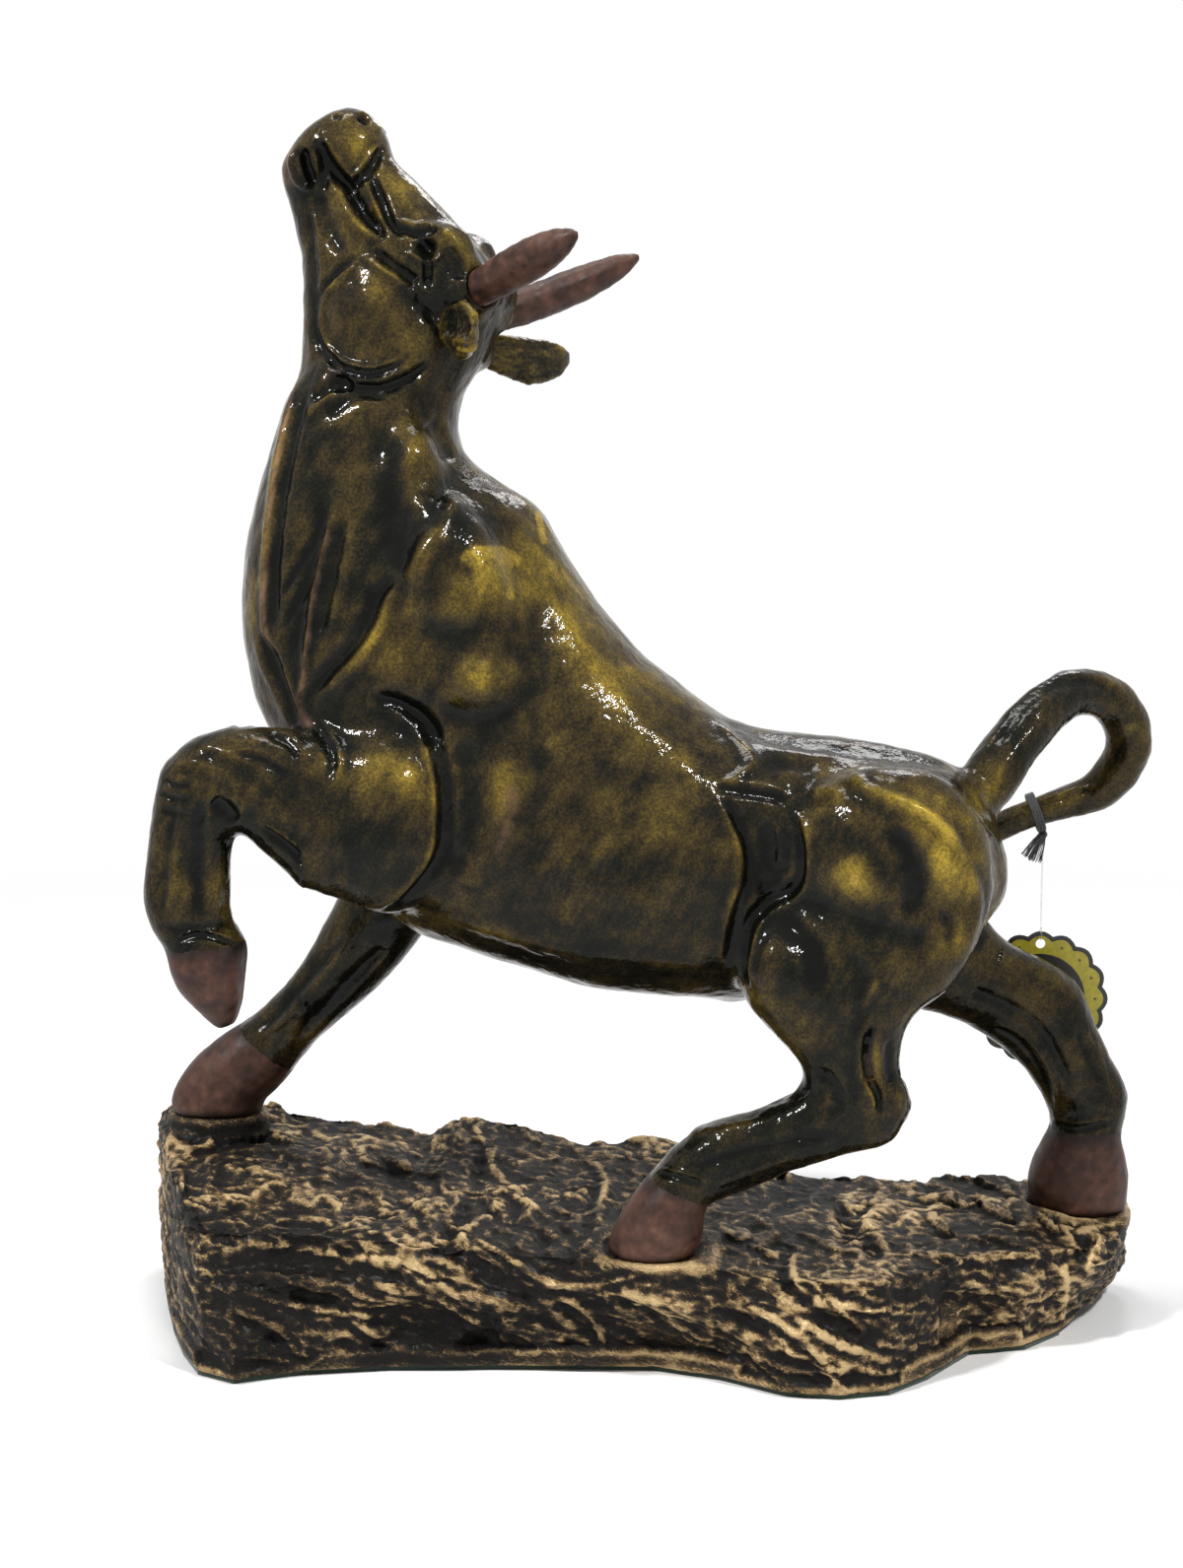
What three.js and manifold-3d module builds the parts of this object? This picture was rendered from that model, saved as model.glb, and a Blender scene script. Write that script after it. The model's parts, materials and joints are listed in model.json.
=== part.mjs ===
// Cast bull figurine on a rock base, with a swing tag tied to its tail.
// Millimetres, +Z up. The head points to -X and the animal's left side faces -Y.
// The origin is the middle of the felt sheet's underside.

import * as THREE from 'three';
import { mergeVertices } from 'three/addons/utils/BufferGeometryUtils.js';
import Module from 'manifold-3d';

const wasm = await Module();
wasm.setup();

const DEG = Math.PI / 180;

// The overall height sets the size of the animal and the rock: their tables are drawn 403 units tall
const FIGURINE_HEIGHT = 403;
const DRAWN_UNITS = 403;
const SIZE = FIGURINE_HEIGHT / DRAWN_UNITS;

// Fits shared by every piece, and how far a cutting tool runs out of what it cuts
const GLUE_LINE = 0.3;
const PIN_CLEARANCE = 0.3;
const RUNOUT = 4;

// Flesh castings
const TORSO_WALL = 7;
const SPIGOT_CLEARANCE = 0.6;
const LEG_PIN_RADIUS = 3;
const LEG_PIN_LENGTH = 30;
const TAIL_PIN_RADIUS = 2;
const TAIL_PIN_LENGTH = 22;
const HORN_PIN_RADIUS = 1.5;
const HORN_PIN_LENGTH = 16;
const HOOF_PIN_RADIUS = 2;
const HOOF_PIN_LENGTH = 22;
const SOCKET_CLEARANCE = 0.3;
const SOCKET_RINGS = 4;
const CLEFT_WIDTH = 1.8;
const CLEFT_DEPTH = 9;
const CLEFT_DEPTH_RAISED = 4.5;
const CLEFT_MARGIN = 2;

// Rock base
const FELT_THICKNESS = 1.5;
const FELT_INSET = 2;
const BOARD_THICKNESS = 6;
const BOARD_CLEARANCE = 1.2;
const ROCK_WALL = 8;
const ROCK_ROOF = 12;
const ROCK_ROUGHNESS = 1.6;
const ROCK_LOW_BEND = 0.3;
const ROCK_HIGH_BEND = 0.7;
const ROCK_FOOT_PULL = 0.6;
const ROCK_EDGE = 3;
const ROCK_BACK_TUCK = 1;
const ROCK_UPRIGHT = 1.5;
const ROCK_HEADROOM = 30;
const SEAT_MARGIN = 2;
const SEAT_DEPTH = 14;
const SCREW_RADIUS = 1.75;
const SCREW_LENGTH = 18;
const SCREW_HEAD_RADIUS = 3.8;
const SCREW_HEAD_HEIGHT = 2.4;
const SCREW_HEAD_RIM = 1;
const SCREW_TIP = 3;
const SCREW_BOSS_RADIUS = 6;
const SCREW_BOSS_REACH = 60;
const STUD_RADIUS = 2.5;
const STUD_REACH = 17;
const STUD_ROOF = 16;
const STUD_BOSS_RADIUS = 9;
const STUD_POCKET_RADIUS = 7.5;
const WASHER_RADIUS = 6;
const WASHER_THICKNESS = 1.2;
const NUT_ACROSS_FLATS = 8;
const NUT_HEIGHT = 4;
const STUD_TAIL = 3;

// Tie round the tail, the fine line that hangs from it, and the tag
const TIE_RADIUS = 0.8;
const TIE_SPREAD = 2;
const KNOT_RADIUS = 1.9;
const KNOT_SEAT = 1.3;
const LOOP_CLEARANCE = 0.4;
const TASSEL_LENGTH = 11;
const TASSEL_RADIUS = 4.2;
const TASSEL_FLATNESS = 0.35;
const TASSEL_OFFSET = 2.3;
const TASSEL_LEAN = 24;
const LINE_RADIUS = 0.3;
const LINE_DROP = 39;
const EYE_RADIUS = 2.3;
const EYE_SLACK = 0.25;
const TAG_RADIUS = 23.8;
const TAG_THICKNESS = 0.8;
const TAG_SCALLOPS = 16;
const TAG_SCALLOP_DEPTH = 1.6;
const TAG_HOLE_RADIUS = 1.7;
const TAG_HOLE_MARGIN = 2.7;

// Facets, and how square the oval sections are: 2 is a plain ellipse
const FLESH_SQUARENESS = 2.25;
const CAVITY_SQUARENESS = 2;
const TRUNK_SIDES = 22;
const HEAD_SIDES = 18;
const LEG_SIDES = 14;
const CAVITY_SIDES = 12;
const TAIL_SIDES = 10;
const MASS_SIDES = 12;
const MASS_RINGS = 7;
const HORN_SIDES = 10;
const PIN_SIDES = 12;
const POST_SIDES = 20;
const HEX_SIDES = 6;
const BAR_STEPS = 2;
const CORD_SIDES = 6;
const RING_STEPS = 20;
const KNOT_RINGS = 8;
const SCALLOP_STEPS = 6;
const ROCK_TOP_STEPS = 7;
const ROCK_SIDE_STEPS = 4;
const ROCK_LENGTH_STEPS = 3;
const CAVITY_TOP_STEPS = 2;

// Brings the first few values of each drawn row to size
function scaled(count, rows) {
  return rows.map((row) => row.map((value, i) => (i < count ? value * SIZE : value)));
}

function scaledMass({ at, half, tilt }) {
  return { at: at.map((value) => value * SIZE), half: half.map((value) => value * SIZE), tilt };
}

// Sections of the trunk from the rump to the neck, each a rounded oval that leans in the side view:
// x, y, z, half depth, half width, lean in degrees, turn about the vertical in degrees.
const TRUNK_ROWS = scaled(5, [
  [121, 0, 160, 9, 12, 94, 0],
  [112, 0, 162, 22.5, 25, 92, 0],
  [101, 0, 159.5, 36, 35, 90, 0],
  [82, 0, 158, 41.5, 37, 85, 0],
  [60.5, 0, 159, 44, 35, 78, 0],
  [37, 0, 160, 47.5, 44, 67, 0],
  [14, 0, 162, 51, 48, 57, 0],
  [-8.5, 0, 168.5, 55.5, 48, 46, 0],
  [-30, 0, 178.5, 61, 47, 41, 0],
  [-48, 0, 193.5, 61.5, 45, 36, 0],
  [-67, 0, 227.5, 59.2, 43, 15, 0],
  [-74.7, 0, 247.5, 55.2, 40, 12, 0],
  [-79.5, 0, 267.5, 49, 35.5, 11, 0],
  [-87, 0, 279.5, 39, 32, 12, 0],
  [-89.5, 0, 290.7, 32.3, 29, 10, 0],
  [-85, 0, 309.5, 29, 25, 3, -2],
]);

// Sections of the thrown-back head from the neck joint to the end of the muzzle
const HEAD_ROWS = [
  TRUNK_ROWS.at(-1),
  ...scaled(5, [
    [-78.5, 0.5, 321, 31.5, 24, 8, -4],
    [-74, 1, 331.5, 37, 23.5, 19, -8],
    [-77.5, 1.5, 348.5, 31, 22, 16.5, -8],
    [-83, 2, 362, 25.6, 18, 14, -8],
    [-89.5, 2.5, 373, 21.8, 14.5, 14, -8],
    [-95.5, 3, 382, 18.5, 13.5, 17, -8],
    [-97, 3, 389.5, 18.2, 14.5, 17, -8],
    [-97, 3, 397, 12.5, 12, 19, -8],
    [-96, 3, 401, 6, 7, 19, -8],
  ]),
];

const FORELEG_LEFT_ROWS = scaled(5, [
  [-66, -30, 181, 25, 12, -92, 0],
  [-84, -36, 178.5, 27.5, 15, -90, 0],
  [-101, -39, 181.5, 26, 15, -90, 0],
  [-113, -40, 187.5, 20.3, 14, -90, 0],
  [-121.5, -40, 191, 17.5, 13.5, -85, 0],
  [-130.5, -40, 189.5, 16.5, 13, -63, 0],
  [-135.5, -40, 184.5, 16, 12.5, -45, 0],
  [-137.5, -40, 176, 14, 11.5, -26, 0],
  [-138.5, -40, 167, 13.3, 11, -12, 0],
  [-139.5, -40, 154.5, 14, 11.3, 3, 0],
  [-138.5, -40, 146, 13, 11.5, 8, 0],
  [-134, -40, 139, 13, 12, 6, 0],
]);
const HOOF_FORE_LEFT_ROWS = [
  FORELEG_LEFT_ROWS.at(-1),
  ...scaled(5, [
    [-133, -40, 132.5, 12.6, 12.5, 10, 0],
    [-132, -40, 126, 11, 11.5, 13, 0],
    [-129.5, -40, 119, 7.5, 9, 12, 0],
    [-127.5, -40, 112.5, 3, 4.5, 15, 0],
  ]),
];

const FORELEG_RIGHT_ROWS = scaled(5, [
  [-64, 30, 180, 24, 15, -20, 0],
  [-84, 37, 146, 18.5, 14.5, -28, 0],
  [-94, 38, 129, 16, 13.5, -30, 0],
  [-104, 38, 115, 13.5, 12.5, -34, 0],
  [-114, 38, 104.5, 11.5, 11.5, -38, 0],
  [-123, 38, 95.5, 11, 11, -40, 0],
  [-131, 38, 87.5, 12.5, 11.5, -40, 0],
]);
const HOOF_FORE_RIGHT_ROWS = [
  FORELEG_RIGHT_ROWS.at(-1),
  ...scaled(5, [
    [-138, 38, 81.5, 14, 12.5, -34, 0],
    [-145, 38, 75, 15.5, 13.5, -20, 0],
    [-149, 38, 69, 16.5, 14, -6, 0],
    [-149, 38, 64, 16, 13.5, 0, 0],
  ]),
];

const HIND_LEG_LEFT_ROWS = scaled(5, [
  [84, -26, 162, 33, 16, 0, 0],
  [76, -32, 146, 36.5, 18, 0, 0],
  [69.5, -35, 128, 33.5, 16, 0, 0],
  [66, -36, 118.5, 25, 14.5, 3, 0],
  [67.5, -36, 109.5, 18.8, 13.5, 2, 0],
  [70.5, -36, 100, 15.6, 12.5, -3, 0],
  [72.5, -36, 92.5, 18.2, 12, -9, 0],
  [68.5, -36, 86, 17.5, 12, -28, 0],
  [61, -36, 83.5, 13, 11.5, -50, 0],
  [45, -36, 76.7, 11, 10.5, -60, 0],
  [37, -36, 73.5, 11.8, 11, -62, 0],
  [29, -36, 70.3, 12.2, 11.5, -58, 0],
  [22.5, -36, 66, 11.3, 11.5, -45, 0],
  [17, -36, 61.5, 10.7, 11.5, -22, 0],
]);
const HOOF_HIND_LEFT_ROWS = [
  HIND_LEG_LEFT_ROWS.at(-1),
  ...scaled(5, [
    [13.5, -36, 57, 11.8, 12.5, -8, 0],
    [11, -36, 51, 13.8, 13.5, -3, 0],
    [9, -36, 45, 15, 14, -1, 0],
    [8, -36, 40, 14.5, 13.5, 0, 0],
  ]),
];

const HIND_LEG_RIGHT_ROWS = scaled(5, [
  [82, 26, 142, 28, 16, -102, 0],
  [99, 31, 129, 23.5, 15, -112, 0],
  [115.5, 35, 116, 16.5, 13.5, -124, 0],
  [127, 37, 110, 16.6, 13, -130, 0],
  [137, 38, 103.5, 17.2, 13, -138, 0],
  [143.5, 38, 94, 14.8, 12.5, -148, 0],
  [149.5, 38, 83.5, 14, 12, -162, 0],
  [154.5, 38, 74, 14.5, 12, -173, 0],
  [154.5, 38, 64.5, 12.4, 12, -180, 0],
]);
const HOOF_HIND_RIGHT_ROWS = [
  HIND_LEG_RIGHT_ROWS.at(-1),
  ...scaled(5, [
    [153.5, 38, 59, 13.5, 13, -180, 0],
    [152.5, 38, 51, 16.3, 14, -180, 0],
    [152, 38, 43, 17.5, 14.5, -180, 0],
    [152.5, 38, 35, 16, 14, -180, 0],
  ]),
];

// Which section of a limb is the face that meets the trunk
const FORELEG_LEFT_JOINT = 2;
const FORELEG_RIGHT_JOINT = 2;
const HIND_LEG_LEFT_JOINT = 5;
const HIND_LEG_RIGHT_JOINT = 2;
const TAIL_JOINT = 1;

// Tail centre line: x, y, z, radius
const TAIL_POINTS = scaled(4, [
  [102, 2, 170, 9.5],
  [114, 7, 185, 9.8],
  [128, 18, 202.5, 9],
  [144.7, 34, 214, 8.6],
  [161, 44, 210, 8.3],
  [168, 51, 194, 8.2],
  [159, 57, 178.5, 7.4],
  [146.5, 57, 173.8, 6.2],
  [137, 57, 170.4, 5.4],
  [124.9, 57, 165.3, 5.2],
  [110, 56, 155.5, 5.4],
  [100, 54.6, 141, 7],
  [95, 54.3, 128, 6.5],
  [92, 53.5, 117, 1.5],
]);
const TAIL_TIE = 8;

// Muscle masses that stand out of the trunk: middle, half sizes, tilt about Y in degrees
const MIRRORED_MUSCLES = [
  { at: [-53, 33, 247], half: [18, 15, 36], tilt: 14 },
  { at: [-71, 24, 280], half: [12, 11, 24], tilt: -10 },
  { at: [-47, 38, 222], half: [11, 12, 12], tilt: 0 },
].map(scaledMass);
const NEAR_MUSCLES = [
  { at: [-76, -38, 178], half: [20, 17, 30.5], tilt: 0 },
  { at: [81, -31, 167.5], half: [34, 21, 30], tilt: 0 },
  { at: [50.5, -35, 132], half: [17, 16, 19.5], tilt: 0 },
].map(scaledMass);
const FAR_MUSCLES = [
  { at: [-70, 36, 184], half: [22, 17, 30], tilt: 20 },
  { at: [77, 31, 165], half: [33, 19, 29], tilt: 0 },
  { at: [68, 34, 134], half: [18, 15, 19], tilt: 0 },
].map(scaledMass);
const SHEATH = scaledMass({ at: [32, 0, 117.5], half: [9, 6, 5], tilt: 0 });

// Hollows pressed into the trunk: above the elbow, in front of the haunch, and on the haunch itself
const MIRRORED_HOLLOWS = [
  { at: [-70, 49.5, 209.5], half: [18, 10, 6.5], tilt: -38 },
  { at: [43, 47.5, 168], half: [8, 10.5, 19], tilt: 0 },
].map(scaledMass);
const NEAR_HOLLOW = scaledMass({ at: [87, -58, 166], half: [6.5, 10.5, 15], tilt: -8 });
const FAR_HOLLOW = scaledMass({ at: [85, 55, 166], half: [6.5, 10.5, 15], tilt: -8 });

// Masses on the head, placed before it is turned: cheeks, brows and horn bosses
const HEAD_TURN = HEAD_ROWS.at(-1).at(-1);
const HEAD_PIVOT = HEAD_ROWS[2];
const CHEEK = scaledMass({ at: [-79, 15, 336], half: [18, 10, 18], tilt: 0 });
const BROW = scaledMass({ at: [-56, 13.5, 357], half: [10, 6, 8], tilt: -30 });
const HORN_BOSS = scaledMass({ at: [-48, 12, 344], half: [9, 9, 9], tilt: 0 });

// Horns and ears: x, y, z, radius on each side, root first. The root sits in a socket.
const HORN_LEFT_POINTS = scaled(4, [
  [-53, -13, 342, 5],
  [-45.9, -19.5, 345.2, 6.2],
  [-30, -33, 352, 6.8],
  [-20, -41.5, 356, 4.6],
  [-15, -45.5, 358.2, 1],
]);
const HORN_RIGHT_POINTS = scaled(4, [
  [-47, 9, 337, 4.8],
  [-38.5, 16, 341, 6],
  [-19.5, 32, 350, 6],
  [-6.5, 41.5, 357, 3.8],
  [-1.2, 45, 360, 1],
]);
const EAR_LEFT_POINTS = scaled(4, [
  [-61, -15, 333, 5],
  [-56, -24, 332, 7],
  [-51, -34, 330.5, 9.5],
  [-48, -43, 329.5, 7],
  [-47, -47, 329.5, 1.5],
]);
const EAR_RIGHT_POINTS = scaled(4, [
  [-53, 12, 327, 5],
  [-46.5, 20, 326.5, 6.5],
  [-37, 31, 324.5, 8],
  [-28.5, 41, 325.5, 6],
  [-24.6, 46, 327, 1.5],
]);
const HORN_FLATNESS = [1, 0.85];
const EAR_FLATNESS = [1, 0.4];

// Outline of the rock in steps along X:
// x, front edge, back edge, front edge at the foot, front height, back height, foot above the felt.
const ROCK_ROWS = scaled(7, [
  [-176, 50, 60, 52, 54, 59, 38.5],
  [-170, 30, 63, 36, 56, 60, 0],
  [-162, 4, 64, 10, 58, 60, 0],
  [-154, -20, 65, -14, 57, 60, 0],
  [-146, -40, 66, -34, 55, 60, 0],
  [-137, -53, 66, -51, 52, 60, 0],
  [-124, -57, 66, -58, 51, 58, 0],
  [-102, -53, 66, -48, 49, 55, 0],
  [-77, -51, 66, -43, 46, 52, 0],
  [-66, -51, 66, -42, 45, 58, 0],
  [-46, -50, 66, -40, 44, 56, 0],
  [-22, -50, 66, -38, 42, 50, 0],
  [8, -51, 66, -37, 40, 50, 0],
  [30, -53, 66, -44, 40, 46, 0],
  [50, -57, 66, -56, 39, 42.5, 0],
  [67, -58, 66, -58, 38.5, 40, 0],
  [83, -54, 66, -53, 38, 38, 0],
  [96, -41, 66, -39, 37, 38, 0],
  [111, -24, 66, -16, 36.5, 40.5, 0],
  [130, -15, 65, -10, 36, 39.5, 0],
  [143, -8, 64, 5, 35.5, 38, 0],
  [157, 0, 63, 28, 35, 37, 2.5],
  [165, 12, 62, 42, 34.5, 35.5, 5.5],
  [171, 36, 59, 48, 34, 34.5, 10.5],
]);

// The steps between which the rock is hollow, and how far below its foot the hollow starts
const CAVITY_FIRST = 3;
const CAVITY_LAST = 19;
const CAVITY_OPENING = 2;

// Waves that roughen the rock: their share of the depth, and how fast two factors run along x, y and z
const ROCK_WAVES = [
  { share: 1, first: [0.11, 0.07, 0], second: [0.03, 0.13, -0.09] },
  { share: 0.6, first: [0.31, -0.23, 0.27], second: [0.19, 0.37, 0] },
];

// Ledges broken out of the long faces of the rock. Below each line of x and height the face is set back
// by the depth, and comes forward again over the drop.
const ROCK_LEDGES = [
  { line: [[-139, 39.5], [-111, 44.5], [-90, 41], [-70, 39], [-49, 22.5]], depth: 2.4, drop: 7 },
  { line: [[-137, 31], [-112, 27.5], [-92, 25], [-50, 22]], depth: 3, drop: 10 },
  { line: [[-57, 43.5], [-41, 36.5], [-23, 31], [-8, 31.5], [8, 35.5]], depth: 2.6, drop: 9 },
  { line: [[20, 22], [34, 17.5], [52, 14], [64, 9]], depth: 2.6, drop: 8 },
  { line: [[52, 31.5], [64, 25.5], [78, 20]], depth: 2.6, drop: 8 },
].map(({ line, depth, drop }) => ({
  line: scaled(2, line),
  depth: depth * SIZE,
  drop: drop * SIZE,
}));
const LEDGE_FADE = 8;
const LEDGE_EDGE = 1;

const SCREW_PLACES = scaled(2, [
  [-122, -28],
  [-122, 44],
  [72, -26],
  [72, 44],
]);
const STUD_FORE_OFFSET = [1, 0];
const STUD_HIND_OFFSET = [4, 7];

const BRONZE = { color: 0x5a4a24, roughness: 0.28, metalness: 0.2 };
const HORN_BROWN = { color: 0x6b4436, roughness: 0.5, metalness: 0 };
const ROCK_BLACK = { color: 0x3b352c, roughness: 0.6, metalness: 0 };
const STEEL = { color: 0xb9bcc0, roughness: 0.35, metalness: 1 };
const BOARD_BROWN = { color: 0x9a7b55, roughness: 0.8, metalness: 0 };
const FELT_GREEN = { color: 0x23352a, roughness: 1, metalness: 0 };
const THREAD_BLACK = { color: 0x141414, roughness: 0.9, metalness: 0 };
const LINE_WHITE = { color: 0xeeeeea, roughness: 0.5, metalness: 0 };
const TAG_YELLOW = { color: 0xa3882a, roughness: 0.55, metalness: 0 };

// Turns a closed geometry into a solid that can be cut and joined
function solidOf(geometry) {
  const bare = geometry.clone();
  bare.deleteAttribute('normal');
  bare.deleteAttribute('uv');
  const merged = mergeVertices(bare, 1e-5);
  return new wasm.Manifold(new wasm.Mesh({
    numProp: 3,
    vertProperties: new Float32Array(merged.attributes.position.array),
    triVerts: new Uint32Array(merged.index.array),
  }));
}

function geometryOf(solid) {
  const mesh = solid.getMesh();
  const geometry = new THREE.BufferGeometry();
  geometry.setAttribute('position', new THREE.BufferAttribute(mesh.vertProperties, 3));
  geometry.setIndex(new THREE.BufferAttribute(mesh.triVerts, 1));
  return geometry;
}

function joined(solids) {
  return solids.reduce((whole, piece) => whole.add(piece));
}

function cut(solid, tools) {
  return tools.reduce((whole, tool) => whole.subtract(tool), solid);
}

// A smooth value between two of four neighbours
function between(a, b, c, d, t) {
  const slope0 = (c - a) / 2;
  const slope1 = (d - b) / 2;
  const rise = c - b;
  const cubic = slope0 + slope1 - 2 * rise;
  const square = 3 * rise - 2 * slope0 - slope1;
  return ((cubic * t + square) * t + slope0) * t + b;
}

// Adds sections between the given ones, so that a form flows through them
function smoothRows(rows, steps) {
  const result = [];
  for (let i = 0; i < rows.length - 1; i += 1) {
    const four = [rows[Math.max(i - 1, 0)], rows[i], rows[i + 1], rows[Math.min(i + 2, rows.length - 1)]];
    for (let step = 0; step < steps; step += 1) {
      result.push(rows[i].map((_, k) => between(...four.map((row) => row[k]), step / steps)));
    }
  }
  result.push(rows.at(-1));
  return result;
}

function roundedPower(value, squareness) {
  return Math.sign(value) * Math.abs(value) ** (2 / squareness);
}

function point(x, y, z) {
  return new THREE.Vector3(x, y, z);
}

// The ring of points of one leaning oval section
function ovalRing(row, sides, inset = 0, squareness = FLESH_SQUARENESS) {
  const [x, y, z, depth, width, lean, turn] = row;
  const along = point(
    Math.cos(lean * DEG) * Math.cos(turn * DEG),
    Math.cos(lean * DEG) * Math.sin(turn * DEG),
    Math.sin(lean * DEG),
  );
  const across = point(-Math.sin(turn * DEG), Math.cos(turn * DEG), 0);
  const centre = point(x, y, z);
  const points = [];
  for (let i = 0; i < sides; i += 1) {
    const angle = (i / sides) * 2 * Math.PI;
    const a = (depth - inset) * roundedPower(Math.cos(angle), squareness);
    const b = (width - inset) * roundedPower(Math.sin(angle), squareness);
    points.push(centre.clone().addScaledVector(along, a).addScaledVector(across, b));
  }
  return { centre, points };
}

// The rings of a tapered bar along a curve, flattened by two factors
function barRings(rows, sides, [tall, wide], grow = 0) {
  const line = smoothRows(rows, BAR_STEPS);
  const places = line.map((row) => point(row[0], row[1], row[2]));
  let side = point(0, 0, 1);
  return line.map((row, i) => {
    const from = places[Math.max(i - 1, 0)];
    const to = places[Math.min(i + 1, places.length - 1)];
    const tangent = to.clone().sub(from).normalize();
    side = side.clone().addScaledVector(tangent, -side.dot(tangent)).normalize();
    const third = tangent.clone().cross(side);
    const points = [];
    for (let k = 0; k < sides; k += 1) {
      const angle = (k / sides) * 2 * Math.PI;
      points.push(places[i].clone()
        .addScaledVector(side, (row[3] * tall + grow) * Math.cos(angle))
        .addScaledVector(third, (row[3] * wide + grow) * Math.sin(angle)));
    }
    return { centre: places[i], points };
  });
}

// Closes a row of rings into one solid form
function skin(rings) {
  const sides = rings[0].points.length;
  const positions = [];
  const index = [];
  for (const ring of rings) {
    for (const point of ring.points) {
      positions.push(point.x, point.y, point.z);
    }
  }
  for (let r = 0; r < rings.length - 1; r += 1) {
    for (let k = 0; k < sides; k += 1) {
      const a = r * sides + k;
      const b = r * sides + ((k + 1) % sides);
      index.push(a, b, a + sides, b, b + sides, a + sides);
    }
  }
  const first = positions.length / 3;
  const last = first + 1;
  const end = (rings.length - 1) * sides;
  for (const ring of [rings[0], rings.at(-1)]) {
    positions.push(ring.centre.x, ring.centre.y, ring.centre.z);
  }
  for (let k = 0; k < sides; k += 1) {
    const next = (k + 1) % sides;
    index.push(first, next, k);
    index.push(last, end + k, end + next);
  }
  if (volumeOf(positions, index) < 0) {
    for (let i = 0; i < index.length; i += 3) {
      [index[i + 1], index[i + 2]] = [index[i + 2], index[i + 1]];
    }
  }
  const geometry = new THREE.BufferGeometry();
  geometry.setAttribute('position', new THREE.BufferAttribute(new Float32Array(positions), 3));
  geometry.setIndex(index);
  return geometry;
}

function volumeOf(positions, index) {
  let six = 0;
  const corner = (i) => point(...positions.slice(3 * i, 3 * i + 3));
  for (let i = 0; i < index.length; i += 3) {
    six += corner(index[i]).dot(corner(index[i + 1]).cross(corner(index[i + 2])));
  }
  return six / 6;
}

// The way a row of rings runs at one of them
function travel(rings, k) {
  const to = rings[Math.min(k + 1, rings.length - 1)].centre;
  const from = rings[Math.max(k - 1, 0)].centre;
  return to.clone().sub(from).normalize();
}

// The normal of a ring's flat face on the side that points the given way
function faceNormal(ring, way) {
  const edge = ring.points[0].clone().sub(ring.centre);
  const quarter = ring.points[Math.round(ring.points.length / 4)].clone().sub(ring.centre);
  const normal = edge.cross(quarter).normalize();
  return normal.dot(way) < 0 ? normal.negate() : normal;
}

function movedRing(ring, offset) {
  return {
    centre: ring.centre.clone().add(offset),
    points: ring.points.map((point) => point.clone().add(offset)),
  };
}

// Splits rings at a flat face and opens the glue line there
function splitAt(rings, k) {
  const normal = faceNormal(rings[k], travel(rings, k));
  const shifted = movedRing(rings[k], normal.clone().multiplyScalar(GLUE_LINE));
  return {
    before: rings.slice(0, k + 1),
    after: [shifted, ...rings.slice(k + 1)],
    face: rings[k].centre,
    normal,
  };
}

// A round bar from one point to another
function bar(from, to, radius, sides = PIN_SIDES) {
  const axis = to.clone().sub(from);
  const geometry = new THREE.CylinderGeometry(radius, radius, axis.length(), sides);
  const turn = new THREE.Quaternion().setFromUnitVectors(point(0, 1, 0), axis.clone().normalize());
  geometry.applyQuaternion(turn);
  const middle = from.clone().add(to).multiplyScalar(0.5);
  geometry.translate(middle.x, middle.y, middle.z);
  return geometry;
}

// An upright round post
function post(x, y, bottom, top, radius, sides = PIN_SIDES) {
  return bar(point(x, y, bottom), point(x, y, top), radius, sides);
}

// A box between two corners
function block(low, high) {
  const size = high.clone().sub(low);
  const middle = low.clone().add(high).multiplyScalar(0.5);
  const geometry = new THREE.BoxGeometry(size.x, size.y, size.z);
  geometry.translate(middle.x, middle.y, middle.z);
  return geometry;
}

// A pin across a joint, with the bore that both sides need
function jointPin(face, normal, radius, length) {
  const middle = face.clone().addScaledVector(normal, GLUE_LINE / 2);
  const ends = [-1, 1].map((sign) => middle.clone().addScaledVector(normal, (sign * length) / 2));
  const bores = [-1, 1].map((sign) => (
    middle.clone().addScaledVector(normal, sign * (length / 2 + PIN_CLEARANCE))
  ));
  return {
    pin: bar(...ends, radius),
    bore: solidOf(bar(...bores, radius + PIN_CLEARANCE)),
  };
}

// A rounded mass of flesh on one side of the animal: 1 for its right, -1 for its left
function massShape({ at, half, tilt }, side) {
  const geometry = new THREE.SphereGeometry(1, MASS_SIDES, MASS_RINGS);
  geometry.rotateX(Math.PI / 2);
  geometry.scale(...half);
  geometry.rotateY(-tilt * DEG);
  geometry.translate(at[0], at[1] * side, at[2]);
  return geometry;
}

function mass(feature, side = 1) {
  return solidOf(massShape(feature, side));
}

function headMass(feature, side) {
  const geometry = massShape(feature, side);
  geometry.translate(-HEAD_PIVOT[0], 0, 0);
  geometry.rotateZ(HEAD_TURN * DEG);
  geometry.translate(HEAD_PIVOT[0], HEAD_PIVOT[1], 0);
  return solidOf(geometry);
}

const figurine = new THREE.Group();

function addPiece(name, geometry, look) {
  geometry.computeVertexNormals();
  const mesh = new THREE.Mesh(geometry, new THREE.MeshStandardMaterial(look));
  mesh.name = name;
  figurine.add(mesh);
}

// Limbs, each split where its casting meets the trunk and where the hoof begins
function limb(legRows, hoofRows, joint, steps) {
  const rows = smoothRows([...legRows, ...hoofRows.slice(1)], steps);
  const rings = rows.map((row) => ovalRing(row, LEG_SIDES));
  const root = splitAt(rings, joint * steps);
  const ankle = (legRows.length - 1) * steps;
  const foot = splitAt(rings, ankle);
  const leg = [root.after[0], ...rings.slice(joint * steps + 1, ankle + 1)];
  return {
    stub: solidOf(skin(root.before)),
    leg: solidOf(skin(leg)),
    hoof: solidOf(skin(foot.after)),
    root,
    foot,
  };
}

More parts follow.
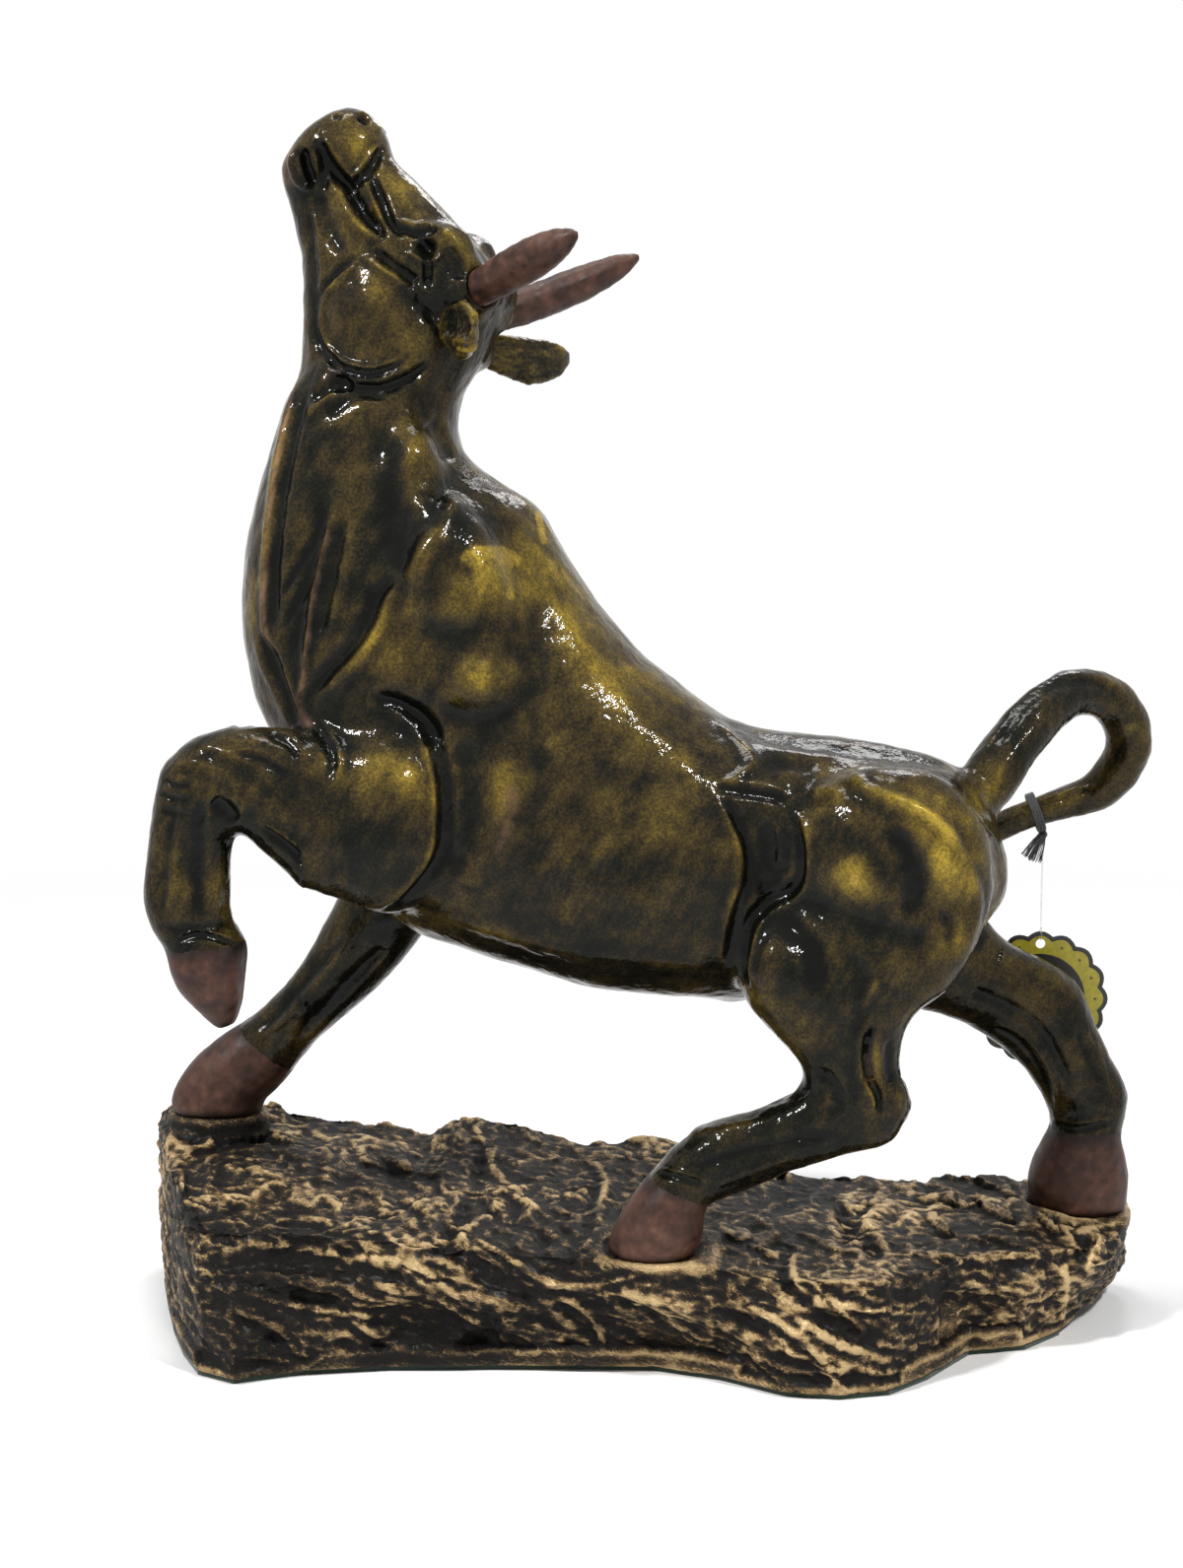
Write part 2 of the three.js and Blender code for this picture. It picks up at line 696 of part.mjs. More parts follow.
const forelegLeft = limb(FORELEG_LEFT_ROWS, HOOF_FORE_LEFT_ROWS, FORELEG_LEFT_JOINT, 1);
const forelegRight = limb(FORELEG_RIGHT_ROWS, HOOF_FORE_RIGHT_ROWS, FORELEG_RIGHT_JOINT, 2);
const hindLegLeft = limb(HIND_LEG_LEFT_ROWS, HOOF_HIND_LEFT_ROWS, HIND_LEG_LEFT_JOINT, 1);
const hindLegRight = limb(HIND_LEG_RIGHT_ROWS, HOOF_HIND_RIGHT_ROWS, HIND_LEG_RIGHT_JOINT, 2);

const limbs = [forelegLeft, forelegRight, hindLegLeft, hindLegRight];
for (const part of limbs) {
  part.joint = jointPin(part.root.face, part.root.normal, LEG_PIN_RADIUS, LEG_PIN_LENGTH);
}

// Trunk and head share one row of sections, split at the neck
const trunkRings = TRUNK_ROWS.map((row) => ovalRing(row, TRUNK_SIDES));
const trunkAndGlue = solidOf(skin(TRUNK_ROWS.map((row) => ovalRing(row, TRUNK_SIDES, -GLUE_LINE))));
const cavityRings = TRUNK_ROWS.slice(2).map((row) => (
  ovalRing(row, CAVITY_SIDES, TORSO_WALL, CAVITY_SQUARENESS)
));
const neckNormal = faceNormal(trunkRings.at(-1), point(0, 0, 1));
const neckOpening = movedRing(cavityRings.at(-1), neckNormal.clone().multiplyScalar(TORSO_WALL));
const cavity = solidOf(skin([...cavityRings, neckOpening]));

const tailRings = barRings(TAIL_POINTS, TAIL_SIDES, [1, 1]);
const tailRoot = splitAt(tailRings, TAIL_JOINT * BAR_STEPS);
const tailPin = jointPin(tailRoot.face, tailRoot.normal, TAIL_PIN_RADIUS, TAIL_PIN_LENGTH);

const torsoFlesh = joined([
  solidOf(skin(trunkRings)),
  ...MIRRORED_MUSCLES.flatMap((muscle) => [mass(muscle), mass(muscle, -1)]),
  ...[...NEAR_MUSCLES, ...FAR_MUSCLES, SHEATH].map((muscle) => mass(muscle)),
  ...limbs.map((part) => part.stub),
  solidOf(skin(tailRoot.before)),
]);
const hollows = [
  ...MIRRORED_HOLLOWS.flatMap((hollow) => [mass(hollow), mass(hollow, -1)]),
  mass(NEAR_HOLLOW),
  mass(FAR_HOLLOW),
];
const jointBores = [...limbs.map((part) => part.joint.bore), tailPin.bore];
const torso = cut(torsoFlesh, [cavity, ...jointBores, ...hollows]);
addPiece('torso', geometryOf(torso), BRONZE);

const headRings = HEAD_ROWS.map((row) => ovalRing(row, HEAD_SIDES));
headRings[0] = movedRing(headRings[0], neckNormal.clone().multiplyScalar(GLUE_LINE));
const spigotRows = [...TRUNK_ROWS.slice(-2), HEAD_ROWS[1]];
const spigot = solidOf(skin(spigotRows.map((row) => (
  ovalRing(row, CAVITY_SIDES, TORSO_WALL + SPIGOT_CLEARANCE, CAVITY_SQUARENESS)
))));

// A horn or an ear, and the socket in the head that takes its root
function rooted(points, flatness) {
  const rings = barRings(points, HORN_SIDES, flatness);
  const socket = barRings(points, HORN_SIDES, flatness, SOCKET_CLEARANCE).slice(0, SOCKET_RINGS);
  socket[0] = movedRing(socket[0], travel(socket, 0).multiplyScalar(-SOCKET_CLEARANCE));
  return {
    body: solidOf(skin(rings)),
    socket: solidOf(skin(socket)),
    root: rings[0].centre,
    axis: travel(rings, 1),
  };
}

function pinnedHorn(points) {
  const horn = rooted(points, HORN_FLATNESS);
  return { ...horn, ...jointPin(horn.root, horn.axis, HORN_PIN_RADIUS, HORN_PIN_LENGTH) };
}

const hornLeft = pinnedHorn(HORN_LEFT_POINTS);
const hornRight = pinnedHorn(HORN_RIGHT_POINTS);
const earLeft = rooted(EAR_LEFT_POINTS, EAR_FLATNESS);
const earRight = rooted(EAR_RIGHT_POINTS, EAR_FLATNESS);

const headFlesh = joined([
  solidOf(skin(headRings)),
  ...[CHEEK, BROW, HORN_BOSS].flatMap((feature) => [headMass(feature, 1), headMass(feature, -1)]),
  spigot,
]);
const head = cut(headFlesh, [
  hornLeft.socket,
  hornRight.socket,
  hornLeft.bore,
  hornRight.bore,
  earLeft.socket,
  earRight.socket,
]);
addPiece('head', geometryOf(head), BRONZE);
addPiece('horn_left', geometryOf(hornLeft.body.subtract(hornLeft.bore)), HORN_BROWN);
addPiece('horn_right', geometryOf(hornRight.body.subtract(hornRight.bore)), HORN_BROWN);
addPiece('ear_left', geometryOf(earLeft.body), BRONZE);
addPiece('ear_right', geometryOf(earRight.body), BRONZE);
addPiece('horn_pin_left', hornLeft.pin, STEEL);
addPiece('horn_pin_right', hornRight.pin, STEEL);

// Legs, and the fastener in each hoof: a stud through the base, a blind pin, or a pin in the raised hoof
function soleOf(rows) {
  const [x, y, z, halfLength, halfWidth] = rows.at(-1);
  return { x, y, z, halfLength, halfWidth };
}

// A stud from the hoof down through the rock, long enough for its washer and nut
function stud(sole, offset) {
  const x = sole.x + offset[0];
  const y = sole.y + offset[1];
  const roofUnder = sole.z - STUD_ROOF;
  const bottom = roofUnder - WASHER_THICKNESS - NUT_HEIGHT - STUD_TAIL;
  const top = sole.z + STUD_REACH;
  return {
    x,
    y,
    roofUnder,
    soleHeight: sole.z,
    body: post(x, y, bottom, top, STUD_RADIUS),
    bore: solidOf(post(x, y, bottom - RUNOUT, top + PIN_CLEARANCE, STUD_RADIUS + PIN_CLEARANCE)),
  };
}

// The cleft between the two claws, open at the toe of the given section and at the sole
function cleft(rows, toeRow, depth) {
  const [x, y, , halfLength] = rows.at(toeRow);
  const toe = x - halfLength;
  const low = point(toe - RUNOUT, y - CLEFT_WIDTH / 2, rows.at(-1)[2] - RUNOUT);
  const high = point(toe + depth, y + CLEFT_WIDTH / 2, rows[1][2] - CLEFT_MARGIN);
  return solidOf(block(low, high));
}

const soleForeRight = soleOf(HOOF_FORE_RIGHT_ROWS);
const soleHindLeft = soleOf(HOOF_HIND_LEFT_ROWS);
const soleHindRight = soleOf(HOOF_HIND_RIGHT_ROWS);
const studFore = stud(soleForeRight, STUD_FORE_OFFSET);
const studHind = stud(soleHindLeft, STUD_HIND_OFFSET);
const soleFace = point(soleHindRight.x, soleHindRight.y, soleHindRight.z);
const hindRightPin = jointPin(soleFace, point(0, 0, 1), HOOF_PIN_RADIUS, HOOF_PIN_LENGTH);
const raisedFoot = forelegLeft.foot;
const raisedHoofPin = jointPin(raisedFoot.face, raisedFoot.normal, HOOF_PIN_RADIUS, HOOF_PIN_LENGTH);

const legPieces = [
  ['foreleg_left', forelegLeft, [raisedHoofPin.bore]],
  ['foreleg_right', forelegRight, [studFore.bore]],
  ['hind_leg_left', hindLegLeft, [studHind.bore]],
  ['hind_leg_right', hindLegRight, []],
];
for (const [name, part, bores] of legPieces) {
  addPiece(name, geometryOf(cut(part.leg, [trunkAndGlue, part.joint.bore, ...bores])), BRONZE);
}
const hoofPieces = [
  ['hoof_fore_left', forelegLeft, raisedHoofPin.bore, cleft(HOOF_FORE_LEFT_ROWS, 2, CLEFT_DEPTH_RAISED)],
  ['hoof_fore_right', forelegRight, studFore.bore, cleft(HOOF_FORE_RIGHT_ROWS, -1, CLEFT_DEPTH)],
  ['hoof_hind_left', hindLegLeft, studHind.bore, cleft(HOOF_HIND_LEFT_ROWS, -1, CLEFT_DEPTH)],
  ['hoof_hind_right', hindLegRight, hindRightPin.bore, cleft(HOOF_HIND_RIGHT_ROWS, -1, CLEFT_DEPTH)],
];
for (const [name, part, bore, slot] of hoofPieces) {
  addPiece(name, geometryOf(cut(part.hoof, [bore, slot])), HORN_BROWN);
}
addPiece('foreleg_pin_left', forelegLeft.joint.pin, STEEL);
addPiece('foreleg_pin_right', forelegRight.joint.pin, STEEL);
addPiece('hind_leg_pin_left', hindLegLeft.joint.pin, STEEL);
addPiece('hind_leg_pin_right', hindLegRight.joint.pin, STEEL);
addPiece('hoof_pin_fore_left', raisedHoofPin.pin, STEEL);
addPiece('hoof_pin_hind_right', hindRightPin.pin, STEEL);

addPiece('tail', geometryOf(cut(solidOf(skin(tailRoot.after)), [trunkAndGlue, tailPin.bore])), BRONZE);
addPiece('tail_pin', tailPin.pin, STEEL);

// Rock base: an uneven block, hollow and open underneath
function roughness(place) {
  const wave = (speeds) => speeds[0] * place.x + speeds[1] * place.y + speeds[2] * place.z;
  const heights = ROCK_WAVES.map(({ share, first, second }) => (
    share * Math.sin(wave(first)) * Math.cos(wave(second))
  ));
  return heights.reduce((sum, height) => sum + height);
}

// How far one ledge sets the face back at a place along the rock
function ledgeDepth({ line, depth, drop }, x, z) {
  const after = line.findIndex(([lineX]) => lineX > x);
  if (after < 1) {
    return 0;
  }
  const [[x0, z0], [x1, z1]] = line.slice(after - 1, after + 1);
  const below = z0 + ((z1 - z0) * (x - x0)) / (x1 - x0) - z;
  const ends = Math.min((x - line[0][0]) / LEDGE_FADE, (line.at(-1)[0] - x) / LEDGE_FADE, 1);
  const rise = Math.min(Math.max(below / LEDGE_EDGE, 0), 1);
  return depth * ends * rise * Math.max(1 - below / drop, 0);
}

// Points added along a broken line, each stretch cut into equal steps
function dividedLine(corners, steps) {
  const result = corners.slice(0, 1);
  for (let i = 1; i < corners.length; i += 1) {
    const [from, to] = [corners[i - 1], corners[i]];
    for (let step = 1; step <= steps; step += 1) {
      result.push(from.map((value, k) => value + ((to[k] - value) * step) / steps));
    }
  }
  return result;
}

// One section across the rock, for its outside or for its hollow
function rockRing(row, { inset, roof, below, topSteps, sideSteps, rough, ledges }) {
  const [x, front, back, footFront, frontHeight, backHeight, footRise] = row;
  const bottom = FELT_THICKNESS + footRise - below;
  const near = front + inset;
  const far = back - inset;
  const nearFoot = footFront + inset;
  const lowTop = frontHeight - roof;
  const highTop = backHeight - roof;
  const level = (top, share) => bottom + (top - bottom) * share;
  const section = dividedLine([
    [nearFoot, bottom],
    [nearFoot * ROCK_FOOT_PULL + near * (1 - ROCK_FOOT_PULL), level(lowTop, ROCK_LOW_BEND)],
    [near, level(lowTop, ROCK_HIGH_BEND)],
    [near + ROCK_EDGE, lowTop],
  ], sideSteps);
  for (let i = 1; i < topSteps; i += 1) {
    const t = i / topSteps;
    section.push([near + (far - near) * t, lowTop + (highTop - lowTop) * t]);
  }
  section.push(...dividedLine([
    [far - ROCK_EDGE, highTop],
    [far, level(highTop, ROCK_HIGH_BEND)],
    [far, level(highTop, ROCK_LOW_BEND)],
    [far - ROCK_BACK_TUCK, bottom],
  ], sideSteps));
  const middle = point(x, (near + far) / 2, (bottom + (lowTop + highTop) / 2) / 2);
  const points = section.map(([y, z]) => {
    const place = point(x, y, z);
    const outward = point(0, y - middle.y, (z - middle.z) * ROCK_UPRIGHT).normalize();
    const setBack = ledges.map((ledge) => ledgeDepth(ledge, x * -Math.sign(outward.y), z));
    const depth = Math.max(0, ...setBack) * (z > bottom ? 1 : 0);
    return place
      .addScaledVector(outward, z > bottom ? rough * roughness(place) : 0)
      .add(point(0, -Math.sign(outward.y) * depth, 0));
  });
  return { centre: middle, points };
}

const rockOutside = {
  inset: 0,
  roof: 0,
  below: 0,
  topSteps: ROCK_TOP_STEPS,
  sideSteps: ROCK_SIDE_STEPS,
  rough: ROCK_ROUGHNESS,
  ledges: ROCK_LEDGES,
};
const rockHollow = {
  inset: ROCK_WALL,
  roof: ROCK_ROOF,
  below: CAVITY_OPENING,
  topSteps: CAVITY_TOP_STEPS,
  sideSteps: 1,
  rough: 0,
  ledges: [],
};
const hollowRows = ROCK_ROWS.slice(CAVITY_FIRST, CAVITY_LAST + 1);
const outsideRows = dividedLine(ROCK_ROWS, ROCK_LENGTH_STEPS);
const rockBlock = solidOf(skin(outsideRows.map((row) => rockRing(row, rockOutside))));
const rockCavity = solidOf(skin(hollowRows.map((row) => rockRing(row, rockHollow))));

// An upright oval post under or over a hoof
function solePost(sole, bottom, top) {
  const geometry = new THREE.CylinderGeometry(1, 1, top - bottom, POST_SIDES);
  geometry.rotateX(Math.PI / 2);
  geometry.scale(sole.halfLength + SEAT_MARGIN, sole.halfWidth + SEAT_MARGIN, 1);
  geometry.translate(sole.x, sole.y, (top + bottom) / 2);
  return solidOf(geometry);
}

const boardTop = FELT_THICKNESS + BOARD_THICKNESS;
const screwBoreTop = FELT_THICKNESS + SCREW_LENGTH + PIN_CLEARANCE;
const soles = [soleForeRight, soleHindLeft, soleHindRight];
const studs = [studFore, studHind];
const seats = soles.map((sole) => solePost(sole, sole.z - SEAT_DEPTH, sole.z));
const headroom = soles.map((sole) => solePost(sole, sole.z, sole.z + ROCK_HEADROOM));
const screwBosses = SCREW_PLACES.map(([x, y]) => (
  solidOf(post(x, y, boardTop, SCREW_BOSS_REACH, SCREW_BOSS_RADIUS)).intersect(rockBlock)
));
const screwBores = SCREW_PLACES.map(([x, y]) => (
  solidOf(post(x, y, 0, screwBoreTop, SCREW_RADIUS + PIN_CLEARANCE))
));
const studBosses = studs.map(({ x, y, roofUnder, soleHeight }) => (
  solidOf(post(x, y, roofUnder, soleHeight, STUD_BOSS_RADIUS))
));
const studPockets = studs.map(({ x, y, roofUnder }) => (
  solidOf(post(x, y, 0, roofUnder, STUD_POCKET_RADIUS))
));
const rockShell = rockBlock.subtract(rockCavity);
const rock = cut(joined([rockShell, ...seats, ...screwBosses, ...studBosses]), [
  ...headroom,
  ...studPockets,
  ...screwBores,
  ...studs.map((fastener) => fastener.bore),
  hindRightPin.bore,
]);
addPiece('rock_base', geometryOf(rock), ROCK_BLACK);

// The board closes the hollow, and the felt sheet covers board and rim
function planSlab(rows, inset, bottom, thickness) {
  const front = rows.map((row) => [row[0], row[3] + inset]);
  const back = rows.map((row) => [row[0], row[2] - ROCK_BACK_TUCK - inset]).reverse();
  const shape = new THREE.Shape([...front, ...back].map(([x, y]) => new THREE.Vector2(x, y)));
  const geometry = new THREE.ExtrudeGeometry(shape, { depth: thickness, bevelEnabled: false });
  geometry.translate(0, 0, bottom);
  return geometry;
}

const boardRows = hollowRows.map((row) => [...row]);
boardRows[0][0] += BOARD_CLEARANCE;
boardRows.at(-1)[0] -= BOARD_CLEARANCE;
const boardInset = ROCK_WALL + BOARD_CLEARANCE;
const boardBlank = solidOf(planSlab(boardRows, boardInset, FELT_THICKNESS, BOARD_THICKNESS));
const headSeatTop = FELT_THICKNESS + SCREW_HEAD_HEIGHT + PIN_CLEARANCE;
const headSeats = SCREW_PLACES.map(([x, y]) => (
  solidOf(post(x, y, 0, headSeatTop, SCREW_HEAD_RADIUS + PIN_CLEARANCE))
));
addPiece('base_board', geometryOf(cut(boardBlank, [...screwBores, ...headSeats])), BOARD_BROWN);

const feltRows = ROCK_ROWS.filter((row) => row.at(-1) === 0);
addPiece('base_felt', planSlab(feltRows, FELT_INSET, 0, FELT_THICKNESS), FELT_GREEN);

const screwProfile = [
  [0, 0],
  [SCREW_HEAD_RADIUS, 0],
  [SCREW_HEAD_RADIUS, SCREW_HEAD_RIM],
  [SCREW_RADIUS, SCREW_HEAD_HEIGHT],
  [SCREW_RADIUS, SCREW_LENGTH - SCREW_TIP],
  [0, SCREW_LENGTH],
].map(([radius, height]) => new THREE.Vector2(radius, height));
SCREW_PLACES.forEach(([x, y], i) => {
  const geometry = new THREE.LatheGeometry(screwProfile, PIN_SIDES);
  geometry.rotateX(Math.PI / 2);
  geometry.translate(x, y, FELT_THICKNESS);
  addPiece(`base_screw_${i + 1}`, geometryOf(solidOf(geometry)), STEEL);
});

for (const [name, fastener] of [['fore', studFore], ['hind', studHind]]) {
  const { x, y, roofUnder } = fastener;
  const washerBottom = roofUnder - WASHER_THICKNESS;
  const washer = solidOf(post(x, y, washerBottom, roofUnder, WASHER_RADIUS, POST_SIDES));
  const nutRadius = NUT_ACROSS_FLATS / Math.sqrt(3);
  const nut = solidOf(post(x, y, washerBottom - NUT_HEIGHT, washerBottom, nutRadius, HEX_SIDES));
  addPiece(`stud_${name}`, fastener.body, STEEL);
  addPiece(`stud_washer_${name}`, geometryOf(washer.subtract(fastener.bore)), STEEL);
  addPiece(`stud_nut_${name}`, geometryOf(nut.subtract(fastener.bore)), STEEL);
}

// Cord tied round the tail with its tassel
const tiePlace = point(...TAIL_POINTS[TAIL_TIE].slice(0, 3));
const tieAxis = travel(tailRings, TAIL_TIE * BAR_STEPS);
const loopRadius = TAIL_POINTS[TAIL_TIE][3] + LOOP_CLEARANCE + TIE_RADIUS;
const downward = tieAxis.clone().cross(point(0, 1, 0)).normalize();
downward.multiplyScalar(Math.sign(-downward.z));
const knotPlace = tiePlace.clone().addScaledVector(downward, loopRadius + KNOT_SEAT);
const loop = new THREE.TorusGeometry(loopRadius, TIE_RADIUS, CORD_SIDES, RING_STEPS);
loop.scale(1, 1, TIE_SPREAD);
loop.applyQuaternion(new THREE.Quaternion().setFromUnitVectors(point(0, 0, 1), tieAxis));
loop.translate(tiePlace.x, tiePlace.y, tiePlace.z);
const knot = new THREE.SphereGeometry(KNOT_RADIUS, PIN_SIDES, KNOT_RINGS);
knot.translate(knotPlace.x, knotPlace.y, knotPlace.z);
const tassel = new THREE.CylinderGeometry(KNOT_RADIUS, TASSEL_RADIUS, TASSEL_LENGTH, PIN_SIDES);
tassel.rotateX(Math.PI / 2);
tassel.translate(0, 0, -TASSEL_LENGTH / 2);
tassel.scale(1, TASSEL_FLATNESS, 1);
tassel.rotateY(TASSEL_LEAN * DEG);
tassel.translate(knotPlace.x, knotPlace.y - TASSEL_OFFSET, knotPlace.z);
const tie = joined([solidOf(loop), solidOf(knot), solidOf(tassel)]);
addPiece('tail_tie', geometryOf(tie), THREAD_BLACK);

// The fine line that hangs from the knot, with the ring at its end that goes through the tag
const holeHeight = knotPlace.z - LINE_DROP;
const eyeBottom = holeHeight + TAG_HOLE_RADIUS - LINE_RADIUS - EYE_SLACK;
const eyeMiddle = eyeBottom + EYE_RADIUS;
const lineTop = knotPlace.z - KNOT_RADIUS - GLUE_LINE;
const lineEnd = eyeMiddle + EYE_RADIUS + LINE_RADIUS + GLUE_LINE;
const line = post(knotPlace.x, knotPlace.y, lineEnd, lineTop, LINE_RADIUS, CORD_SIDES);
addPiece('tag_line', line, LINE_WHITE);
const eye = new THREE.TorusGeometry(EYE_RADIUS, LINE_RADIUS, CORD_SIDES, RING_STEPS);
eye.rotateY(Math.PI / 2);
eye.translate(knotPlace.x, knotPlace.y, eyeMiddle);
addPiece('tag_line_eye', geometryOf(solidOf(eye)), LINE_WHITE);

// Swing tag with a scalloped edge, its hole near the top
const outline = [];
const outlineSteps = TAG_SCALLOPS * SCALLOP_STEPS;
for (let i = 0; i < outlineSteps; i += 1) {
  const angle = (i / outlineSteps) * 2 * Math.PI;
  const bump = Math.abs(Math.cos((angle * TAG_SCALLOPS) / 2));
  const radius = TAG_RADIUS - TAG_SCALLOP_DEPTH * (1 - bump);
  outline.push(new THREE.Vector2(radius * Math.cos(angle), radius * Math.sin(angle)));
}
const tagShape = new THREE.Shape(outline);
const holeRise = TAG_RADIUS - TAG_HOLE_MARGIN - TAG_HOLE_RADIUS;
const tagHole = new THREE.Path();
tagHole.absarc(0, holeRise, TAG_HOLE_RADIUS, 0, 2 * Math.PI, true);
tagShape.holes.push(tagHole);
const tag = new THREE.ExtrudeGeometry(tagShape, {
  depth: TAG_THICKNESS,
  bevelEnabled: false,
  curveSegments: PIN_SIDES,
});
tag.translate(0, -holeRise, -TAG_THICKNESS / 2);
tag.rotateX(Math.PI / 2);
tag.translate(knotPlace.x, knotPlace.y, holeHeight);
addPiece('swing_tag', tag, TAG_YELLOW);

export default figurine;
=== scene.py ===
# %% [markdown]
# # A cast bull on a rock
# This lesson dresses a figurine: a resin bull, painted olive gold over near black and lacquered, that
# stands on a rough rock, with a small round tag tied to its tail. The plain solids come from the frame.
# They carry the sizes. Here they get flesh, folds, paint and lacquer.

# %% Start with the frame
import json
import math

import bpy
import numpy as np
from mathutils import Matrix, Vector, kdtree, noise

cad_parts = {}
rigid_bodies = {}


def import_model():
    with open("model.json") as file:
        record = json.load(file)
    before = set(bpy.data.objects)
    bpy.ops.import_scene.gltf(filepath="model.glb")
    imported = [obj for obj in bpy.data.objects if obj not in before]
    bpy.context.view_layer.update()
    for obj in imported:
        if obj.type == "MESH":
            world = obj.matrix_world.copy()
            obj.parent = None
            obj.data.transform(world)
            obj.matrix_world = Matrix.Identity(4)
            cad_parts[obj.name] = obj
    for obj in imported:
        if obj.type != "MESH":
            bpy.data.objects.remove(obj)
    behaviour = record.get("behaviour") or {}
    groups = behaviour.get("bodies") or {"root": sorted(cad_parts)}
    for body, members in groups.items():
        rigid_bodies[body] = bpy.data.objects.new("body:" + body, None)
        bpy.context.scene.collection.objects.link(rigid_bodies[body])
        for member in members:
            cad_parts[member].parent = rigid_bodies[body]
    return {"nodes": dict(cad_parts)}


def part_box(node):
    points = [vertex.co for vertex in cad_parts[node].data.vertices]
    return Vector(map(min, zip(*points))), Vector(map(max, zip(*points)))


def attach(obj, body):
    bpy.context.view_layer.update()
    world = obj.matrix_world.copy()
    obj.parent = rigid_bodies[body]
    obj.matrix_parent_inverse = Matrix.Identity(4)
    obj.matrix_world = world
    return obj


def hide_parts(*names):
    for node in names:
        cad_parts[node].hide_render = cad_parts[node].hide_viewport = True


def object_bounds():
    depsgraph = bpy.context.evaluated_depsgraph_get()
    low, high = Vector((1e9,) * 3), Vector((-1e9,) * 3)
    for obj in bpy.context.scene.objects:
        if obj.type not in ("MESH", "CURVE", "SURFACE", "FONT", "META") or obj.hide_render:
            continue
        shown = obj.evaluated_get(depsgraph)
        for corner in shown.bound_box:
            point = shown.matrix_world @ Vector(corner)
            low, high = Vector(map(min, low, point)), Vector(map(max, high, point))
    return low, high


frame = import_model()
frame_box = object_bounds()
print("frame box", frame_box)

# %% [markdown]
# ## The camera
# The picture was taken a little from the right of the bull's side and a little from above, from about
# 0.8 m. The camera is placed by those two angles and aimed at a point in the belly. The same numbers
# later say where on the skin a crease seen in the picture belongs.

# %% Place the camera
PICTURE = (1200, 1591)
LENS_PIXELS = 2400.0
AIM = Vector((-0.014, 0.0, 0.186))
AZIMUTH, ELEVATION, DISTANCE = math.radians(4.0), math.radians(7.0), 0.776
back = Vector((
    math.sin(AZIMUTH) * math.cos(ELEVATION),
    -math.cos(AZIMUTH) * math.cos(ELEVATION),
    math.sin(ELEVATION),
))
right = Vector((math.cos(AZIMUTH), math.sin(AZIMUTH), 0.0))
up = back.cross(right)
eye = AIM + back * DISTANCE

bpy.ops.object.camera_add(location=eye, rotation=back.to_track_quat("Z", "Y").to_euler())
camera = bpy.context.active_object
camera.name = "camera"
camera.data.lens = LENS_PIXELS * camera.data.sensor_width / PICTURE[1]
camera.data.clip_start = 0.01
bpy.context.scene.camera = camera
print("lens", round(camera.data.lens, 2))


def seen_at(points, mirror=None):
    """Where points in metres appear in the picture, in pixels, or where their mirror images do."""
    points = points.copy()
    if mirror is not None:
        points[:, 1] = 2 * mirror - points[:, 1]
    offset = points - np.array(eye)
    depth = -(offset @ np.array(back))
    across = PICTURE[0] / 2 + LENS_PIXELS * (offset @ np.array(right)) / depth
    down = PICTURE[1] / 2 - LENS_PIXELS * (offset @ np.array(up)) / depth
    return np.stack([across, down], axis=1)


# %% [markdown]
# ## Helpers
# Operators act on everything that is selected, so each step first selects only what it works on. A
# piece often starts as a copy of a solid from the frame: the copy's loose triangles are merged first.

# %% Select, copy and finish pieces
def pick(*pieces):
    bpy.ops.object.select_all(action="DESELECT")
    for piece in pieces:
        piece.select_set(True)
    bpy.context.view_layer.objects.active = pieces[0]


def edit(select="SELECT"):
    bpy.ops.object.mode_set(mode="EDIT")
    bpy.ops.mesh.select_all(action=select)


def leave():
    bpy.ops.object.mode_set(mode="OBJECT")


def copy_of(node, name):
    piece = bpy.data.objects.new(name, frame["nodes"][node].data.copy())
    bpy.context.scene.collection.objects.link(piece)
    piece.data.materials.clear()
    pick(piece)
    edit()
    bpy.ops.mesh.remove_doubles(threshold=1e-6)
    leave()
    return piece


def modify(piece, kind, **settings):
    """Adds a modifier, sets it and applies it."""
    pick(piece)
    modifier = piece.modifiers.new(kind.lower(), kind)
    for key, value in settings.items():
        setattr(modifier, key, value)
    bpy.ops.object.modifier_apply(modifier=modifier.name)


def join(name, *pieces):
    pick(*pieces)
    bpy.ops.object.join()
    pieces[0].name = name
    return pieces[0]


def largest_shell(piece):
    """Throws away closed bubbles inside a piece."""
    pick(piece)
    edit()
    bpy.ops.mesh.separate(type="LOOSE")
    leave()
    shells = sorted(bpy.context.selected_objects, key=lambda shell: -len(shell.data.vertices))
    for shell in shells[1:]:
        bpy.data.objects.remove(shell)
    shells[0].name = piece.name if piece.name in bpy.data.objects else shells[0].name
    return shells[0]


SHARP_ANGLE = math.radians(60.0)


def finish_piece(piece, body, material, nodes):
    """Smooth shading, its material, and the nodes of the frame that it stands for."""
    pick(piece)
    bpy.ops.object.shade_smooth_by_angle(angle=SHARP_ANGLE)
    piece.data.materials.clear()
    piece.data.materials.append(material)
    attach(piece, body)
    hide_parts(*nodes)


# %% Read and write the points of a mesh
def read(items, key, width=1, kind=float):
    """One property of all points, edges or faces, in rows of a given width."""
    values = np.empty(len(items) * width, kind)
    items.foreach_get(key, values)
    return values.reshape(-1, width) if width > 1 else values


def points_of(piece):
    return read(piece.data.vertices, "co", 3)


def normals_of(piece):
    return read(piece.data.vertices, "normal", 3, np.float32).astype(float)


def links_of(piece):
    """The edges of a mesh, and how many of them meet at each point."""
    edges = read(piece.data.edges, "vertices", 2, int)
    return edges, np.bincount(edges.ravel(), minlength=len(piece.data.vertices)).astype(float)


